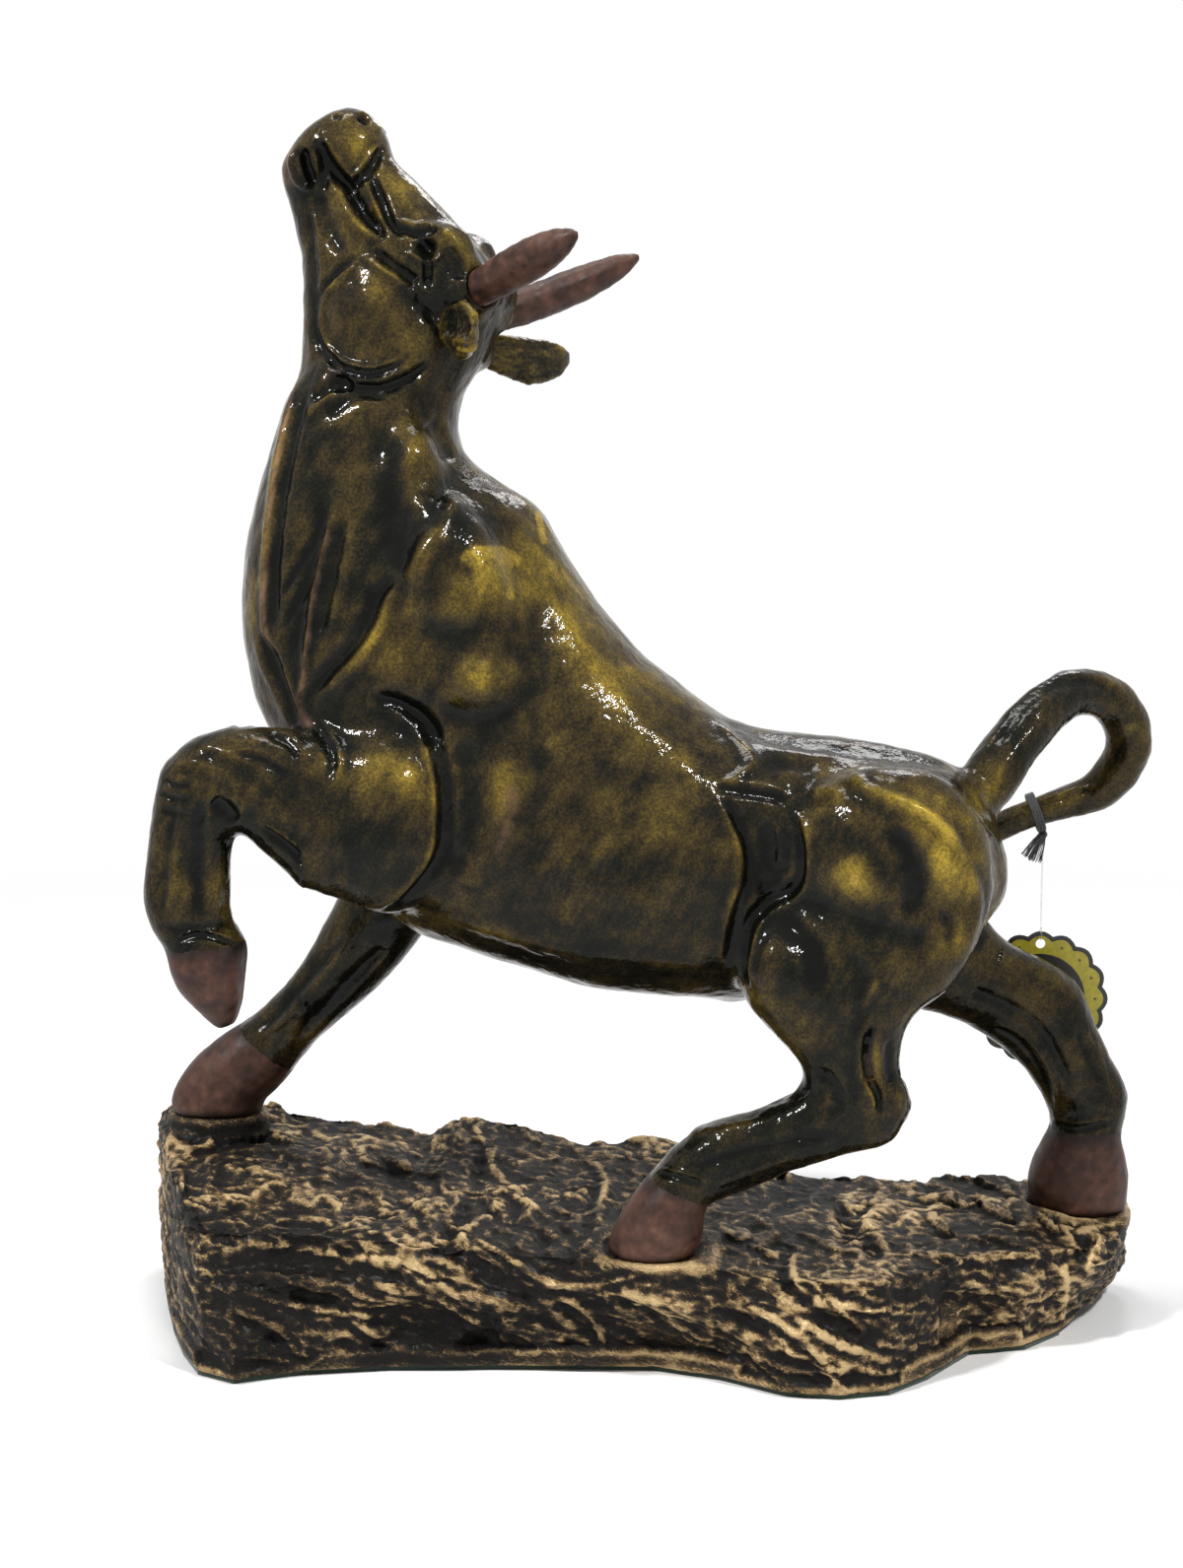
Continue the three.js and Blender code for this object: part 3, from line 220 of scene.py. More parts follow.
def set_points(piece, points):
    piece.data.vertices.foreach_set("co", points.astype(np.float32).ravel())
    piece.data.update()


def set_attributes(piece, **columns):
    count = len(piece.data.vertices)
    for name, values in columns.items():
        attribute = piece.data.attributes.get(name) or piece.data.attributes.new(name, "FLOAT", "POINT")
        attribute.data.foreach_set("value", np.broadcast_to(values, count).astype(np.float32))


def neighbour_mean(values, edges, degree):
    """The mean of each point's neighbours, for one or several columns."""
    count = len(degree)
    columns = values.reshape(count, -1)
    total = np.empty_like(columns)
    for k in range(columns.shape[1]):
        total[:, k] = np.bincount(edges[:, 0], columns[edges[:, 1], k], count)
        total[:, k] += np.bincount(edges[:, 1], columns[edges[:, 0], k], count)
    return (total / degree[:, None]).reshape(values.shape)


def relax(values, passes, edges, degree, strength=0.6):
    """Smooths values over the mesh, each point for its own number of passes."""
    values = values.copy()
    passes = np.broadcast_to(passes, len(values))
    for step in range(int(passes.max())):
        moving = passes > step
        change = neighbour_mean(values, edges, degree) - values
        values[moving] += strength * change[moving]
    return values


def soften(piece, passes):
    """Rounds off facets, then gives back the size that rounding takes away."""
    start, links = points_of(piece), links_of(piece)
    soft = relax(start, passes, *links)
    set_points(piece, soft + relax(start - soft, passes, *links))


def roundness(piece, passes=2):
    """How far each point stands out of its neighbours, in metres: ridges above 0, hollows below."""
    points, links = points_of(piece), links_of(piece)
    out = ((points - neighbour_mean(points, *links)) * normals_of(piece)).sum(axis=1)
    return relax(out, passes, *links)


# %% [markdown]
# ## Flesh
# The casting of the bull is several pieces with joints that are filled and painted over, so it looks
# like one skin. The solids of trunk, head, legs, hooves and tail are joined, grown until their glue
# lines close, and remeshed at 1.3 mm. The facets are then rounded off, more on the big trunk and less
# on the thin legs. Each point remembers which solid it came from, and the skin is cut up again along
# the same joints at the end, so that each piece keeps its place.

# %% Join and remesh the flesh
FLESH = [
    "torso", "head", "foreleg_left", "foreleg_right", "hind_leg_left", "hind_leg_right", "tail",
    "hoof_fore_left", "hoof_fore_right", "hoof_hind_left", "hoof_hind_right",
]
ROUNDING = {"torso": 90, "head": 26, "tail": 26}
LEG_ROUNDING, HOOF_ROUNDING = 30, 12
GROWTH, SKIN_GRAIN, PLUG_RADIUS = 0.0006, 0.0013, 0.0062

copies = [copy_of(node, node + "_copy") for node in FLESH]
for name in ("horn_left", "horn_right", "ear_left", "ear_right"):
    points = points_of(frame["nodes"][name])
    inner = points[np.argsort(np.abs(points[:, 1]))[:30]].mean(axis=0)
    bpy.ops.mesh.primitive_uv_sphere_add(radius=PLUG_RADIUS, location=inner, segments=24, ring_count=16)
    plug = bpy.context.active_object
    plug.name = name + "_plug"
    bpy.ops.object.transform_apply()
    copies.append(plug)
skin = join("skin", *copies)
edit()
bpy.ops.transform.shrink_fatten(value=GROWTH)
leave()
modify(skin, "REMESH", mode="VOXEL", voxel_size=SKIN_GRAIN)
skin = largest_shell(skin)
print("skin points", len(skin.data.vertices))

# %% Remember which solid each point came from
def label_points(piece, nodes, spacing=0.0025):
    """The index of the nearest solid for each point."""
    samples = []
    for index, node in enumerate(nodes):
        mesh = frame["nodes"][node].data
        mesh.calc_loop_triangles()
        places = np.array([v.co for v in mesh.vertices])
        for triangle in mesh.loop_triangles:
            a, b, c = places[list(triangle.vertices)]
            longest = max(np.linalg.norm(b - a), np.linalg.norm(c - a), np.linalg.norm(c - b))
            steps = max(1, int(math.ceil(longest / spacing)))
            for i in range(steps + 1):
                for j in range(steps + 1 - i):
                    samples.append((a + (b - a) * i / steps + (c - a) * j / steps, index))
    tree = kdtree.KDTree(len(samples))
    for number, (place, _) in enumerate(samples):
        tree.insert(place, number)
    tree.balance()
    owner = np.array([index for _, index in samples])
    return owner[[tree.find(place)[1] for place in points_of(piece)]]


label = label_points(skin, FLESH)
passes = np.full(len(label), LEG_ROUNDING)
for index, node in enumerate(FLESH):
    passes[label == index] = ROUNDING.get(node, HOOF_ROUNDING if node.startswith("hoof") else LEG_ROUNDING)
soften(skin, relax(passes.astype(float), 12, *links_of(skin)).round())
set_attributes(skin, owner=label)
print("softened", len(label))

# %% [markdown]
# A finer mesh is only needed where detail is small: the head, the legs and the tail. Their faces are
# subdivided in edit mode, which keeps the skin in one piece, and relaxed for two passes.

# %% Subdivide head, legs and tail
def corners_of(piece):
    """The points at the corners of all faces, and where each face's corners start."""
    return read(piece.data.loops, "vertex_index", 1, int), read(piece.data.polygons, "loop_start", 1, int)


corners, starts = corners_of(skin)
pick(skin)
edit("DESELECT")
bpy.ops.mesh.select_mode(type="FACE")
leave()
skin.data.polygons.foreach_set("select", label[corners[starts]] != FLESH.index("torso"))
bpy.ops.object.mode_set(mode="EDIT")
bpy.ops.mesh.subdivide(number_cuts=1, quadcorner="INNERVERT", ngon=False)
leave()
label = read(skin.data.attributes["owner"].data, "value", 1, np.float32).round().astype(int)
soften(skin, np.where(label == 0, 1, 3))
print("skin points after subdivision", len(label))

# %% [markdown]
# ## Carving
# A modeller now works over the skin with a small tool: creases, folds, ridges and hollows. Here each
# stroke is a line as it is seen through the camera, with a width and a depth in millimetres. A point
# of the skin is pushed in or out by how near it is to the line. The far side of the trunk and the head
# is carved by the same strokes, seen in a mirror, because the picture doesn't show it.

# %% The carving tool
PIXEL_MM = 0.31
STROKE_REACH, LIP_PLACE, LIP_WIDTH = 3.2, 1.5, 0.8
TIP_WIDTH, MIDDLE_WIDTH, END_SHARE = 0.35, 0.75, 0.2


def smooth_step(low, high, values):
    t = np.clip((values - low) / (high - low), 0, 1)
    return t * t * (3 - 2 * t)


def curve_through(points, steps=6):
    """More points on a smooth line through the given ones."""
    points = np.array(points, float)
    padded = np.vstack([2 * points[0] - points[1], points, 2 * points[-1] - points[-2]])
    line = []
    for i in range(1, len(padded) - 2):
        a, b, c, d = padded[i - 1:i + 3]
        for t in np.arange(steps) / steps:
            line.append(b + 0.5 * t * (c - a + t * (2 * a - 5 * b + 4 * c - d + t * (3 * (b - c) + d - a))))
    line.append(padded[-2])
    return np.array(line)


def distance_to_line(places, line):
    """Distance, signed side and share of the way along the line, for each place."""
    best = np.full(len(places), 1e9)
    side = np.zeros(len(places))
    along = np.zeros(len(places))
    for i in range(len(line) - 1):
        start, step = line[i], line[i + 1] - line[i]
        t = np.clip(((places - start) @ step) / max(step @ step, 1e-9), 0, 1)
        gap = places - (start + t[:, None] * step)
        distance = np.hypot(gap[:, 0], gap[:, 1])
        nearer = distance < best
        best[nearer] = distance[nearer]
        side[nearer] = np.sign(step[1] * gap[nearer, 0] - step[0] * gap[nearer, 1])
        along[nearer] = (i + t[nearer]) / (len(line) - 1)
    return best, side, along


def in_ellipse(places, centre, halves, tilt):
    """The places in an ellipse's own coordinates, which are 1 on its edge."""
    angle = math.radians(tilt)
    dx, dy = (places - centre).T
    along = (dx * math.cos(angle) + dy * math.sin(angle)) / halves[0]
    across = (-dx * math.sin(angle) + dy * math.cos(angle)) / halves[1]
    return along, across


def strokes(table):
    """Reads a table of strokes: each is a kind, single numbers, and points of the picture.

    A line has a width, a depth and sometimes a lip, and the points that it runs through.
    A mass has a width, a depth and a tilt, and its middle and half axes. A patch has a tilt and a strength.
    """
    found = []
    for row in table.splitlines():
        for word in ([] if row.strip().startswith("#") else row.split()):
            if word.isalpha():
                found.append((word, [], []))
            else:
                numbers = [float(number) for number in word.split(",")]
                found[-1][len(numbers)].append(numbers if len(numbers) == 2 else numbers[0])
    return found


def stroke_height(places, stroke):
    """What one stroke adds, in millimetres. Widths are in millimetres as well.

    A line is pointed and shallow at both ends, an open one keeps its width and depth.
    A lip above 0 is raised on the right of a line drawn downwards, one below 0 on its left.
    """
    kind, (width, depth, *last), line = stroke
    result = np.zeros(len(places))
    if kind == "mass":
        return depth * smooth_step(0, width, 1 - np.hypot(*in_ellipse(places, *line, *last)))
    lip = last[0] if last else 0.0
    line = curve_through(line)
    reach = STROKE_REACH * width / PIXEL_MM
    low, high = line.min(axis=0) - reach, line.max(axis=0) + reach
    near = ((places >= low) & (places <= high)).all(axis=1)
    if not near.any():
        return result
    distance, side, along = distance_to_line(places[near], line)
    distance = distance * PIXEL_MM / width
    ends = 1.0
    if kind == "line":
        distance = distance / (TIP_WIDTH + MIDDLE_WIDTH * np.sqrt(np.clip(4 * along * (1 - along), 0, 1)))
        ends = smooth_step(0, END_SHARE, along) * smooth_step(0, END_SHARE, 1 - along)
    value = depth * np.exp(-distance**2)
    if lip:
        across = math.copysign(1, lip) * side * distance
        value = value + abs(lip) * np.exp(-((across - LIP_PLACE) / LIP_WIDTH) ** 2)
    result[near] = value * ends
    return result


def carve(piece, table, wanted=None, mirror=None, share=1.0):
    """Pushes the skin in and out by strokes, where they are seen, and in a mirror if there is one."""
    points, normals = points_of(piece), normals_of(piece)
    total = np.zeros(len(points))
    for flipped in ([False] if mirror is None else [False, True]):
        towards = np.array(eye) - points
        if flipped:
            towards = towards * [1, -1, 1]
        towards /= np.linalg.norm(towards, axis=1)[:, None]
        facing = smooth_step(0.02, 0.35, (normals * towards).sum(axis=1))
        places = seen_at(points, mirror if flipped else None)
        height = np.zeros(len(points))
        chosen = facing > 0 if wanted is None else (facing > 0) & wanted
        for stroke in table:
            height[chosen] += stroke_height(places[chosen], stroke)
        total += height * facing * share
    set_points(piece, points + normals * total[:, None] / 1000)
    return total


# %% [markdown]
# ### The trunk
# The creases in front of the haunch, the hollow of the flank, the folds of the throat, the edge of the
# shoulder blade and the gleaming ridge behind it are what gives the trunk its character.

# %% Strokes on the trunk
TRUNK_STROKES = strokes("""
    # in front of the haunch: a crease with a crisp edge, and the deep hollow of the flank
    line 1.7 -2.3 1.3 800,815 810,850 810,888 800,905 779,916 762,935 754,960 752,988 762,1010
    line 5.0 -2.2 738,815 766,835 784,860 784,890 766,922
    line 1.9 -1.6 -0.9 727,797 746,824 760,856 761,892 750,930 741,965 742,992
    line 1.6 -1.6 0.7 724,797 752,802 780,806 800,812
    line 1.4 1.0 786,832 790,858 788,884
    # loin
    line 1.3 1.0 718,724 744,747 765,769 752,784 734,791
    line 1.4 -1.0 0.6 698,688 728,716 752,740
    line 2.6 -0.9 770,778 800,774 836,781
    line 2.3 -1.7 0.5 724,722 779,744 835,754 892,761 950,770 972,778
    line 1.5 0.6 820,806 838,800 858,802
    # haunch
    line 2.3 1.6 858,774 876,797 901,808 935,822 965,848 986,884
    line 2.4 -0.8 846,790 866,806 892,822 915,832
    line 4.0 -2.0 892,842 920,858 931,885 928,912 912,930
    mass 1.0 1.6 0 866,888 30,34
    mass 1.0 1.1 0 963,880 24,44
    line 4.6 -1.4 808,906 840,926 880,938 922,952 955,950
    line 3.6 -1.7 787,928 813,952 828,982 826,1012
    mass 1.0 1.2 0 782,975 26,42
    line 2.8 -0.9 856,955 872,988 876,1022 864,1056
    line 1.5 1.1 894,992 881,1010 876,1028
    line 1.8 -0.9 988,866 1002,900 1002,940 986,972
    line 1.6 -0.7 0.4 955,925 966,940 962,960
    # shoulder: front edge, blade, knob
    line 3.2 -1.1 0.5 462,486 436,522 412,560 398,588
    line 2.6 -2.6 1.5 402,582 383,602 374,624 356,654 330,682 308,714
    line 5.0 1.2 455,530 434,560 420,600 412,640
    mass 1.0 1.2 6 428,562 15,46
    line 4.6 -1.2 470,505 474,550 472,600
    mass 1.0 -1.1 -6 470,640 60,24
    mass 1.0 1.9 -8 486,690 54,44
    line 3.8 -1.0 440,716 470,728 500,730 524,708
    line 4.6 -1.0 538,590 550,640 545,684 522,726
    line 4.5 0.9 560,600 588,650 636,714 682,762 724,806
    # above and behind the elbow
    line 1.9 -2.2 -1.0 362,703 392,711 420,726 438,748 448,778 452,815 448,868 424,904 399,924 370,932
    line 4.6 -2.0 376,708 404,716 430,736 442,758
    mass 1.0 1.0 0 418,796 30,34
    line 4.6 -1.6 466,740 474,800 468,850 452,900
    mass 1.0 1.3 4 508,806 24,66
    line 5.2 -0.7 540,752 546,820 530,890
    line 0.8 -0.6 466,898 478,905 492,902
    line 1.3 -1.7 1.0 318,730 331,750 338,772 335,795
    # throat and dewlap
    line 1.1 1.4 307,362 291,420 278,476 270,540 266,600 268,640 277,662
    line 1.7 -1.5 316,372 301,424 288,480 280,540 276,600 280,646
    line 1.1 1.5 338,512 328,556 316,606 311,650 306,694 303,716
    line 2.2 -1.9 348,520 338,566 327,612 320,652
    line 2.6 -1.6 330,500 318,548 304,596 298,640 294,684
    line 0.9 -0.8 0.4 322,540 298,580 284,606
    line 0.9 -0.8 0.4 318,578 298,612 285,640
    line 1.8 -1.4 -0.8 262,640 275,672 290,706 305,744
    line 1.2 1.0 284,668 296,704 306,738
    line 1.4 1.4 308,424 324,408 344,395
    line 1.6 -1.6 314,406 330,394 352,384
    line 2.0 -1.2 330,424 346,408 368,400 396,404
    # neck
    line 5.2 -1.4 378,424 392,476 396,530 382,582
    line 3.6 0.9 420,440 414,490 420,520
    line 2.2 -1.2 0.6 440,420 446,448 462,468
    line 2.6 -0.6 0.5 470,478 505,492 536,520 556,556
    # belly
    line 6.0 -0.7 580,720 622,790 650,860 650,930
    line 2.8 -0.9 0.6 430,936 500,962 580,984 660,992 730,990
""")

# %% Strokes on the head
HEAD_STROKES = strokes("""
    # cheek with its rim, and the crease of the jaw under it
    line 1.3 -1.5 0.9 366,258 345,271 325,294 317,322 321,346 333,363 350,375 376,379 402,371 420,354
    line 2.1 -2.5 326,374 350,390 385,394 416,383 442,363
    line 1.4 1.3 366,258 385,271 406,285 426,304
    line 1.7 -2.0 378,252 402,270 426,288
    line 1.0 0.6 326,296 345,287 362,264
    mass 1.0 0.7 0 372,322 60,60
    line 3.6 -0.5 352,268 356,300 372,322 398,330
    # the long ridges from the cheek to the mouth
    line 2.6 1.8 333,178 344,198 356,216 371,232 388,242
    line 2.2 -1.6 321,188 327,214 337,240 350,258
    line 1.5 -1.0 0.6 310,205 315,245 317,285 312,320
    line 1.7 -3.0 348,178 361,204 374,224 394,242
    line 1.2 1.6 365,174 378,202 392,232
    line 1.3 -1.8 376,168 386,198 397,225 412,242
    mass 1.0 0.9 52 414,205 36,14
    # upper lip and mouth
    line 1.9 -2.8 1.0 321,140 328,158 340,175 358,192
    line 1.4 -1.8 0.9 352,192 371,177 383,160 390,146
    mass 1.0 1.4 -10 362,150 28,34
    open 1.3 -3.6 305,155 308,169 314,183
    line 0.9 1.1 298,146 293,164 299,184 311,192 320,184 322,166 315,148
    line 1.3 -1.2 324,160 328,176 328,196
    # nostrils
    mass 1.0 -3.0 28 370,120 9,5.5
    line 1.1 0.9 360,112 376,114 385,124 386,136
    mass 1.0 -1.2 0 342,117 6,4
    # eye and brow
    mass 1.0 -2.8 20 430,248 17,13
    line 1.3 -1.8 1.0 400,226 422,235 444,229
    line 1.9 1.4 444,228 458,240 471,258 482,276
    line 1.2 -1.8 426,238 433,260 434,294
    line 1.1 1.0 410,252 424,262 440,264 452,256
    line 2.0 -1.2 452,250 462,266 466,284
    # behind the cheek
    mass 1.0 -2.6 0 446,316 28,20
    line 2.4 -1.6 418,300 438,318 450,344
""")

# %% [markdown]
# ### The legs
# Cannon bones have tendons with grooves beside them, the joints have wrinkles, and the raised leg is
# creased where it bends.

# %% Strokes on the legs
RAISED_LEG_STROKES = strokes("""
    line 1.4 -1.8 1.0 262,838 281,853 300,868 318,884 327,894
    line 1.2 0.7 250,850 272,876 300,900 335,918
    line 2.6 -1.8 0.8 214,812 226,820 240,836
    line 2.4 -1.5 0.6 204,806 199,850 201,900 206,938
    line 1.8 -0.8 0.5 178,800 170,850 164,900 160,935
    line 1.6 0.9 226,850 222,890 220,930
    line 0.8 -0.7 164,790 178,797 194,796
    line 0.8 -0.7 160,804 176,811 192,811
    line 0.8 -0.6 160,820 174,826 188,826
    line 2.2 -0.6 0.4 172,782 198,786 222,796 240,814
    line 2.6 -0.6 0.4 196,762 224,774 254,790 280,812
    line 1.2 -0.8 0.3 236,764 266,770 294,788
    line 1.5 -1.0 0.5 270,744 292,752 308,772
    line 0.9 -1.2 0.6 176,956 206,949 247,960
    line 2.0 -0.9 156,938 186,944 218,940 240,934
""")
NEAR_HIND_STROKES = strokes("""
    line 1.3 -1.8 -1.3 888,1031 880,1060 882,1090 892,1114 892,1134
    mass 1.0 1.2 0 916,1112 13,28
    line 1.4 -1.0 902,1052 903,1080 906,1104
    line 0.9 -0.9 806,1140 810,1150 808,1162
    line 1.9 -1.0 0.4 822,1086 842,1096 850,1118 838,1138
    line 1.8 0.7 690,1152 735,1144 790,1134
    line 2.1 -1.1 700,1186 745,1170 800,1158 862,1150
    line 1.5 0.7 720,1206 760,1190 812,1172
    line 1.1 -0.9 0.6 664,1188 690,1196 716,1204
    line 1.2 -0.6 772,1116 800,1112 824,1104
""")
FAR_FORE_STROKES = strokes("""
    line 2.0 -1.3 0.8 352,945 318,985 286,1022 258,1050
    line 2.2 -1.2 0.7 400,950 360,990 322,1030 296,1062
    line 1.2 -0.9 0.6 228,1052 250,1070 275,1092
    line 1.2 -0.7 300,1010 312,1030 308,1052
""")
FAR_HIND_STROKES = strokes("""
    line 2.4 0.9 996,964 1030,974 1064,986 1084,1008
    line 2.0 -1.3 960,1000 1002,1012 1046,1036 1072,1072 1088,1112
    line 1.3 -1.0 0.8 1000,1040 1032,1056 1056,1088 1068,1130
    line 1.6 -0.8 0.5 1092,1040 1106,1076 1122,1104
    mass 1.0 -0.9 0 1088,1130 22,16
    line 1.1 -0.9 0.5 1062,1140 1096,1146 1132,1138
""")
TAIL_STROKES = strokes("""
    line 1.8 -0.6 0.4 992,786 1018,744 1050,706 1090,692 1128,702 1150,738
    line 1.6 0.5 1004,800 1030,762 1056,730
    line 1.6 -0.7 1096,712 1124,730 1134,762 1118,792
    line 1.4 -0.5 0.3 1030,822 1070,812 1110,800
""")


def owned(*nodes):
    return np.isin(label, [FLESH.index(node) for node in nodes])


FAR_LIMIT = 0.075
trunk_and_neighbours = owned("torso", "head", "foreleg_left", "hind_leg_left", "tail")
carved = 0.0
for table, wanted, mirror in (
    (TRUNK_STROKES, trunk_and_neighbours & (points_of(skin)[:, 1] < FAR_LIMIT), 0.0),
    (HEAD_STROKES, owned("head", "torso"), 0.0015),
    (RAISED_LEG_STROKES, owned("foreleg_left", "hoof_fore_left"), -0.040),
    (NEAR_HIND_STROKES, owned("hind_leg_left", "torso"), -0.036),
    (FAR_FORE_STROKES, owned("foreleg_right"), 0.038),
    (FAR_HIND_STROKES, owned("hind_leg_right"), 0.038),
    (TAIL_STROKES, owned("tail"), None),
):
    carved = carved + carve(skin, table, wanted, mirror)
print("carved from", round(carved.min(), 2), "to", round(carved.max(), 2), "mm")

# %% [markdown]
# A hand never leaves a surface even. A slow swell of a few tenths of a millimetre breaks up the
# reflections, as it does on the real casting. In the same pass the skin gives back the growth that
# closed its glue lines.

# %% Uneven skin
def swell(points, size, depth, octaves=3):
    return np.array([noise.fractal(place, 0.9, 2.1, octaves) for place in points / size]) * depth


points, normals = points_of(skin), normals_of(skin)
offset = np.full(len(points), -GROWTH)
offset += swell(points, 0.022, 0.0004) + swell(points + 5.0, 0.0065, 0.00018)
set_points(skin, np.clip(points + normals * offset[:, None], *frame_box))

# %% [markdown]
# ### Where the gold was rubbed on, and where shade is painted
# The painter rubbed gold on some places and left others black. These are soft patches in the picture's
# own coordinates, kept as an attribute of the skin: more gold above 0, less below 0. The black patches
# are partly the near black paint and partly painted shade: under the belly, in the hollows of the
# flank, haunch, shoulder, throat and head, and over the legs.

# %% Patches of gold, and of black paint with painted shade
GOLD_PATCHES = strokes("""
    patch 958,880 46,52 0 1.0  patch 862,895 34,26 15 0.9  patch 880,812 60,22 15 0.45
    patch 776,985 24,46 0 0.45  patch 972,958 34,22 -30 0.6  patch 1004,800 16,36 35 0.9
    patch 494,588 40,32 0 0.8  patch 566,590 30,90 -28 0.55  patch 346,545 16,70 8 0.6
    patch 374,478 20,36 0 0.5  patch 392,650 60,40 -20 0.4  patch 486,690 34,24 -8 0.5
    patch 372,146 26,36 0 0.7  patch 412,340 32,34 0 0.6  patch 414,205 38,15 52 0.55
    patch 378,280 22,24 0 0.4  patch 345,215 12,34 -25 0.45  patch 398,764 50,36 0 0.3
    patch 440,850 12,60 8 0.4  patch 655,820 100,70 20 0.2  patch 640,690 70,34 38 0.3
    patch 884,1080 9,56 0 0.8  patch 186,905 16,22 0 0.5  patch 700,720 60,20 40 0.35
    patch 506,930 14,10 0 0.2  patch 300,165 12,24 0 0.35  patch 268,560 8,120 8 0.35
""")
# Black paint, and painted shade under the belly, in the hollows and over the legs.
BLACK_PAINT_AND_SHADE_PATCHES = strokes("""
    patch 600,945 260,62 4 0.7  patch 772,862 44,78 0 1.0  patch 914,886 24,50 -8 1.0
    patch 474,830 34,100 4 0.4  patch 824,965 30,58 -10 0.7  patch 866,1010 46,76 0 0.5
    patch 452,518 52,36 0 0.6  patch 410,718 56,22 28 0.9  patch 300,600 22,110 8 0.6
    patch 450,310 40,34 0 0.9  patch 432,250 24,20 0 0.8  patch 310,245 14,50 0 0.6
    patch 360,398 60,22 0 0.7  patch 430,560 22,46 6 0.4  patch 300,168 9,16 0 0.8
    patch 372,500 40,80 12 0.4  patch 320,470 16,70 10 0.4  patch 205,870 16,70 0 0.6
    patch 760,1150 120,50 -20 0.4  patch 1090,740 70,70 0 0.45  patch 1040,1070 60,80 30 0.4
    patch 330,1010 80,70 -45 0.3  patch 830,745 110,14 6 0.7  patch 480,640 50,20 0 0.5
    patch 356,620 16,60 25 0.5  patch 230,810 34,30 0 0.3
""")


def patch_sum(places, patches):
    total = np.zeros(len(places))
    for _, (tilt, strength), ellipse in patches:
        along, across = in_ellipse(places, *ellipse, tilt)
        total += strength * np.exp(-(along * along + across * across) * 0.9)
    return total


# Drips of thick gold on the withers, and ridges of the throat and flank where the dark paint is worn
# off down to a dull pink brown.
GOLD_DRIPS = strokes("""
    open 1.6 1.0 484,560 484,582 488,600
    open 1.3 1.0 508,560 514,580 518,604
    open 3.4 0.7 474,566 500,560 522,568
    open 1.2 1.0 546,520 549,536 551,549
""")
WORN_RIDGES = strokes("""
    line 0.55 0.95 307,362 291,420 279,476 271,540 267,600 269,640 279,664
    line 0.5 0.85 338,512 328,556 317,606 311,650 306,694 303,716
    line 1.0 0.5 325,385 336,378 350,372
    line 2.0 0.35 500,872 516,826 520,790
    line 1.2 0.7 300,700 306,724 318,742
    open 1.6 0.6 292,150 287,168 292,186
""")


def painted(points, mirror=0.0):
    """Gold above 0, black paint and painted shade below 0, and what is worn, the far side by its mirror
    image.
    """
    near = points[:, 1] < mirror
    places = seen_at(points)
    places[~near] = seen_at(points[~near], mirror)
    gold_against_black_and_shade = patch_sum(places, GOLD_PATCHES) - patch_sum(places, BLACK_PAINT_AND_SHADE_PATCHES)
    drips = sum(stroke_height(places, stroke) for stroke in GOLD_DRIPS)
    worn = sum(stroke_height(places, stroke) for stroke in WORN_RIDGES)
    return np.maximum(gold_against_black_and_shade, smooth_step(0.35, 0.55, drips) * 1.2 - 0.2), worn


# %% [markdown]
# ### Cut the skin up again
# Each point has the number of the solid that it came from. The numbers are evened out, so that the cuts
# run smoothly, then the faces are separated by material number and the open ends are closed.

# %% Cut the skin into pieces
CUT_ROUNDING = 30
CARVED_SPAN, BEND_SPAN = 3.0, 0.00005
SOLE_EDGE, CORONET = (0.0008, 0.0035), (0.75, 1.0)

shares = relax(np.eye(len(FLESH))[label], CUT_ROUNDING, *links_of(skin))
corners, starts = corners_of(skin)
face_owner = np.add.reduceat(shares[corners], starts, axis=0).argmax(axis=1)

gold_against_black_and_shade, worn = painted(points_of(skin))
# The gilt attribute carries the gold and black paint, and the painted shade of the black patches.
set_attributes(
    skin, height=np.clip(carved / CARVED_SPAN, -1, 1), bend=np.clip(roundness(skin, 4) / BEND_SPAN, -1, 1),
    gilt=np.clip(gold_against_black_and_shade, -1, 1), worn=np.clip(worn, 0, 1),
)
skin.data.attributes.remove(skin.data.attributes["owner"])
skin.data.materials.clear()
for node in FLESH:
    skin.data.materials.append(bpy.data.materials.new(node + "_mark"))
skin.data.polygons.foreach_set("material_index", face_owner)
there = set(bpy.data.objects) - {skin}
pick(skin)
edit()
bpy.ops.mesh.separate(type="MATERIAL")
leave()
flesh = {}
for piece in set(bpy.data.objects) - there:
    marked = piece.data.materials[piece.data.polygons[0].material_index].name
    node = marked.removesuffix("_mark")
    piece.name = node + "_skin"
    flesh[node] = piece


FILL_ROUNDS = 12


def close_ends(piece):
    """Fills every open edge loop of a piece with a fan, and makes all of it triangles.

    Where three faces meet at an edge, its points are taken out and the hole is filled again.
    """
    pick(piece)
    edit("DESELECT")
    bpy.ops.mesh.select_mode(type="VERT")
    for _ in range(FILL_ROUNDS):
        bpy.ops.mesh.select_all(action="DESELECT")
        bpy.ops.mesh.select_non_manifold()
        bpy.ops.mesh.fill_holes(sides=0)
        bpy.ops.mesh.poke()
        bpy.ops.mesh.select_all(action="SELECT")
        bpy.ops.mesh.quads_convert_to_tris()
        bpy.ops.mesh.select_all(action="DESELECT")
        bpy.ops.mesh.select_non_manifold()
        left = piece.data.total_vert_sel
        if left == 0:
            break
        bpy.ops.mesh.delete(type="VERT")
        bpy.ops.mesh.select_all(action="SELECT")
        bpy.ops.mesh.delete_loose()
    leave()
    print(piece.name, "points still open:", left)


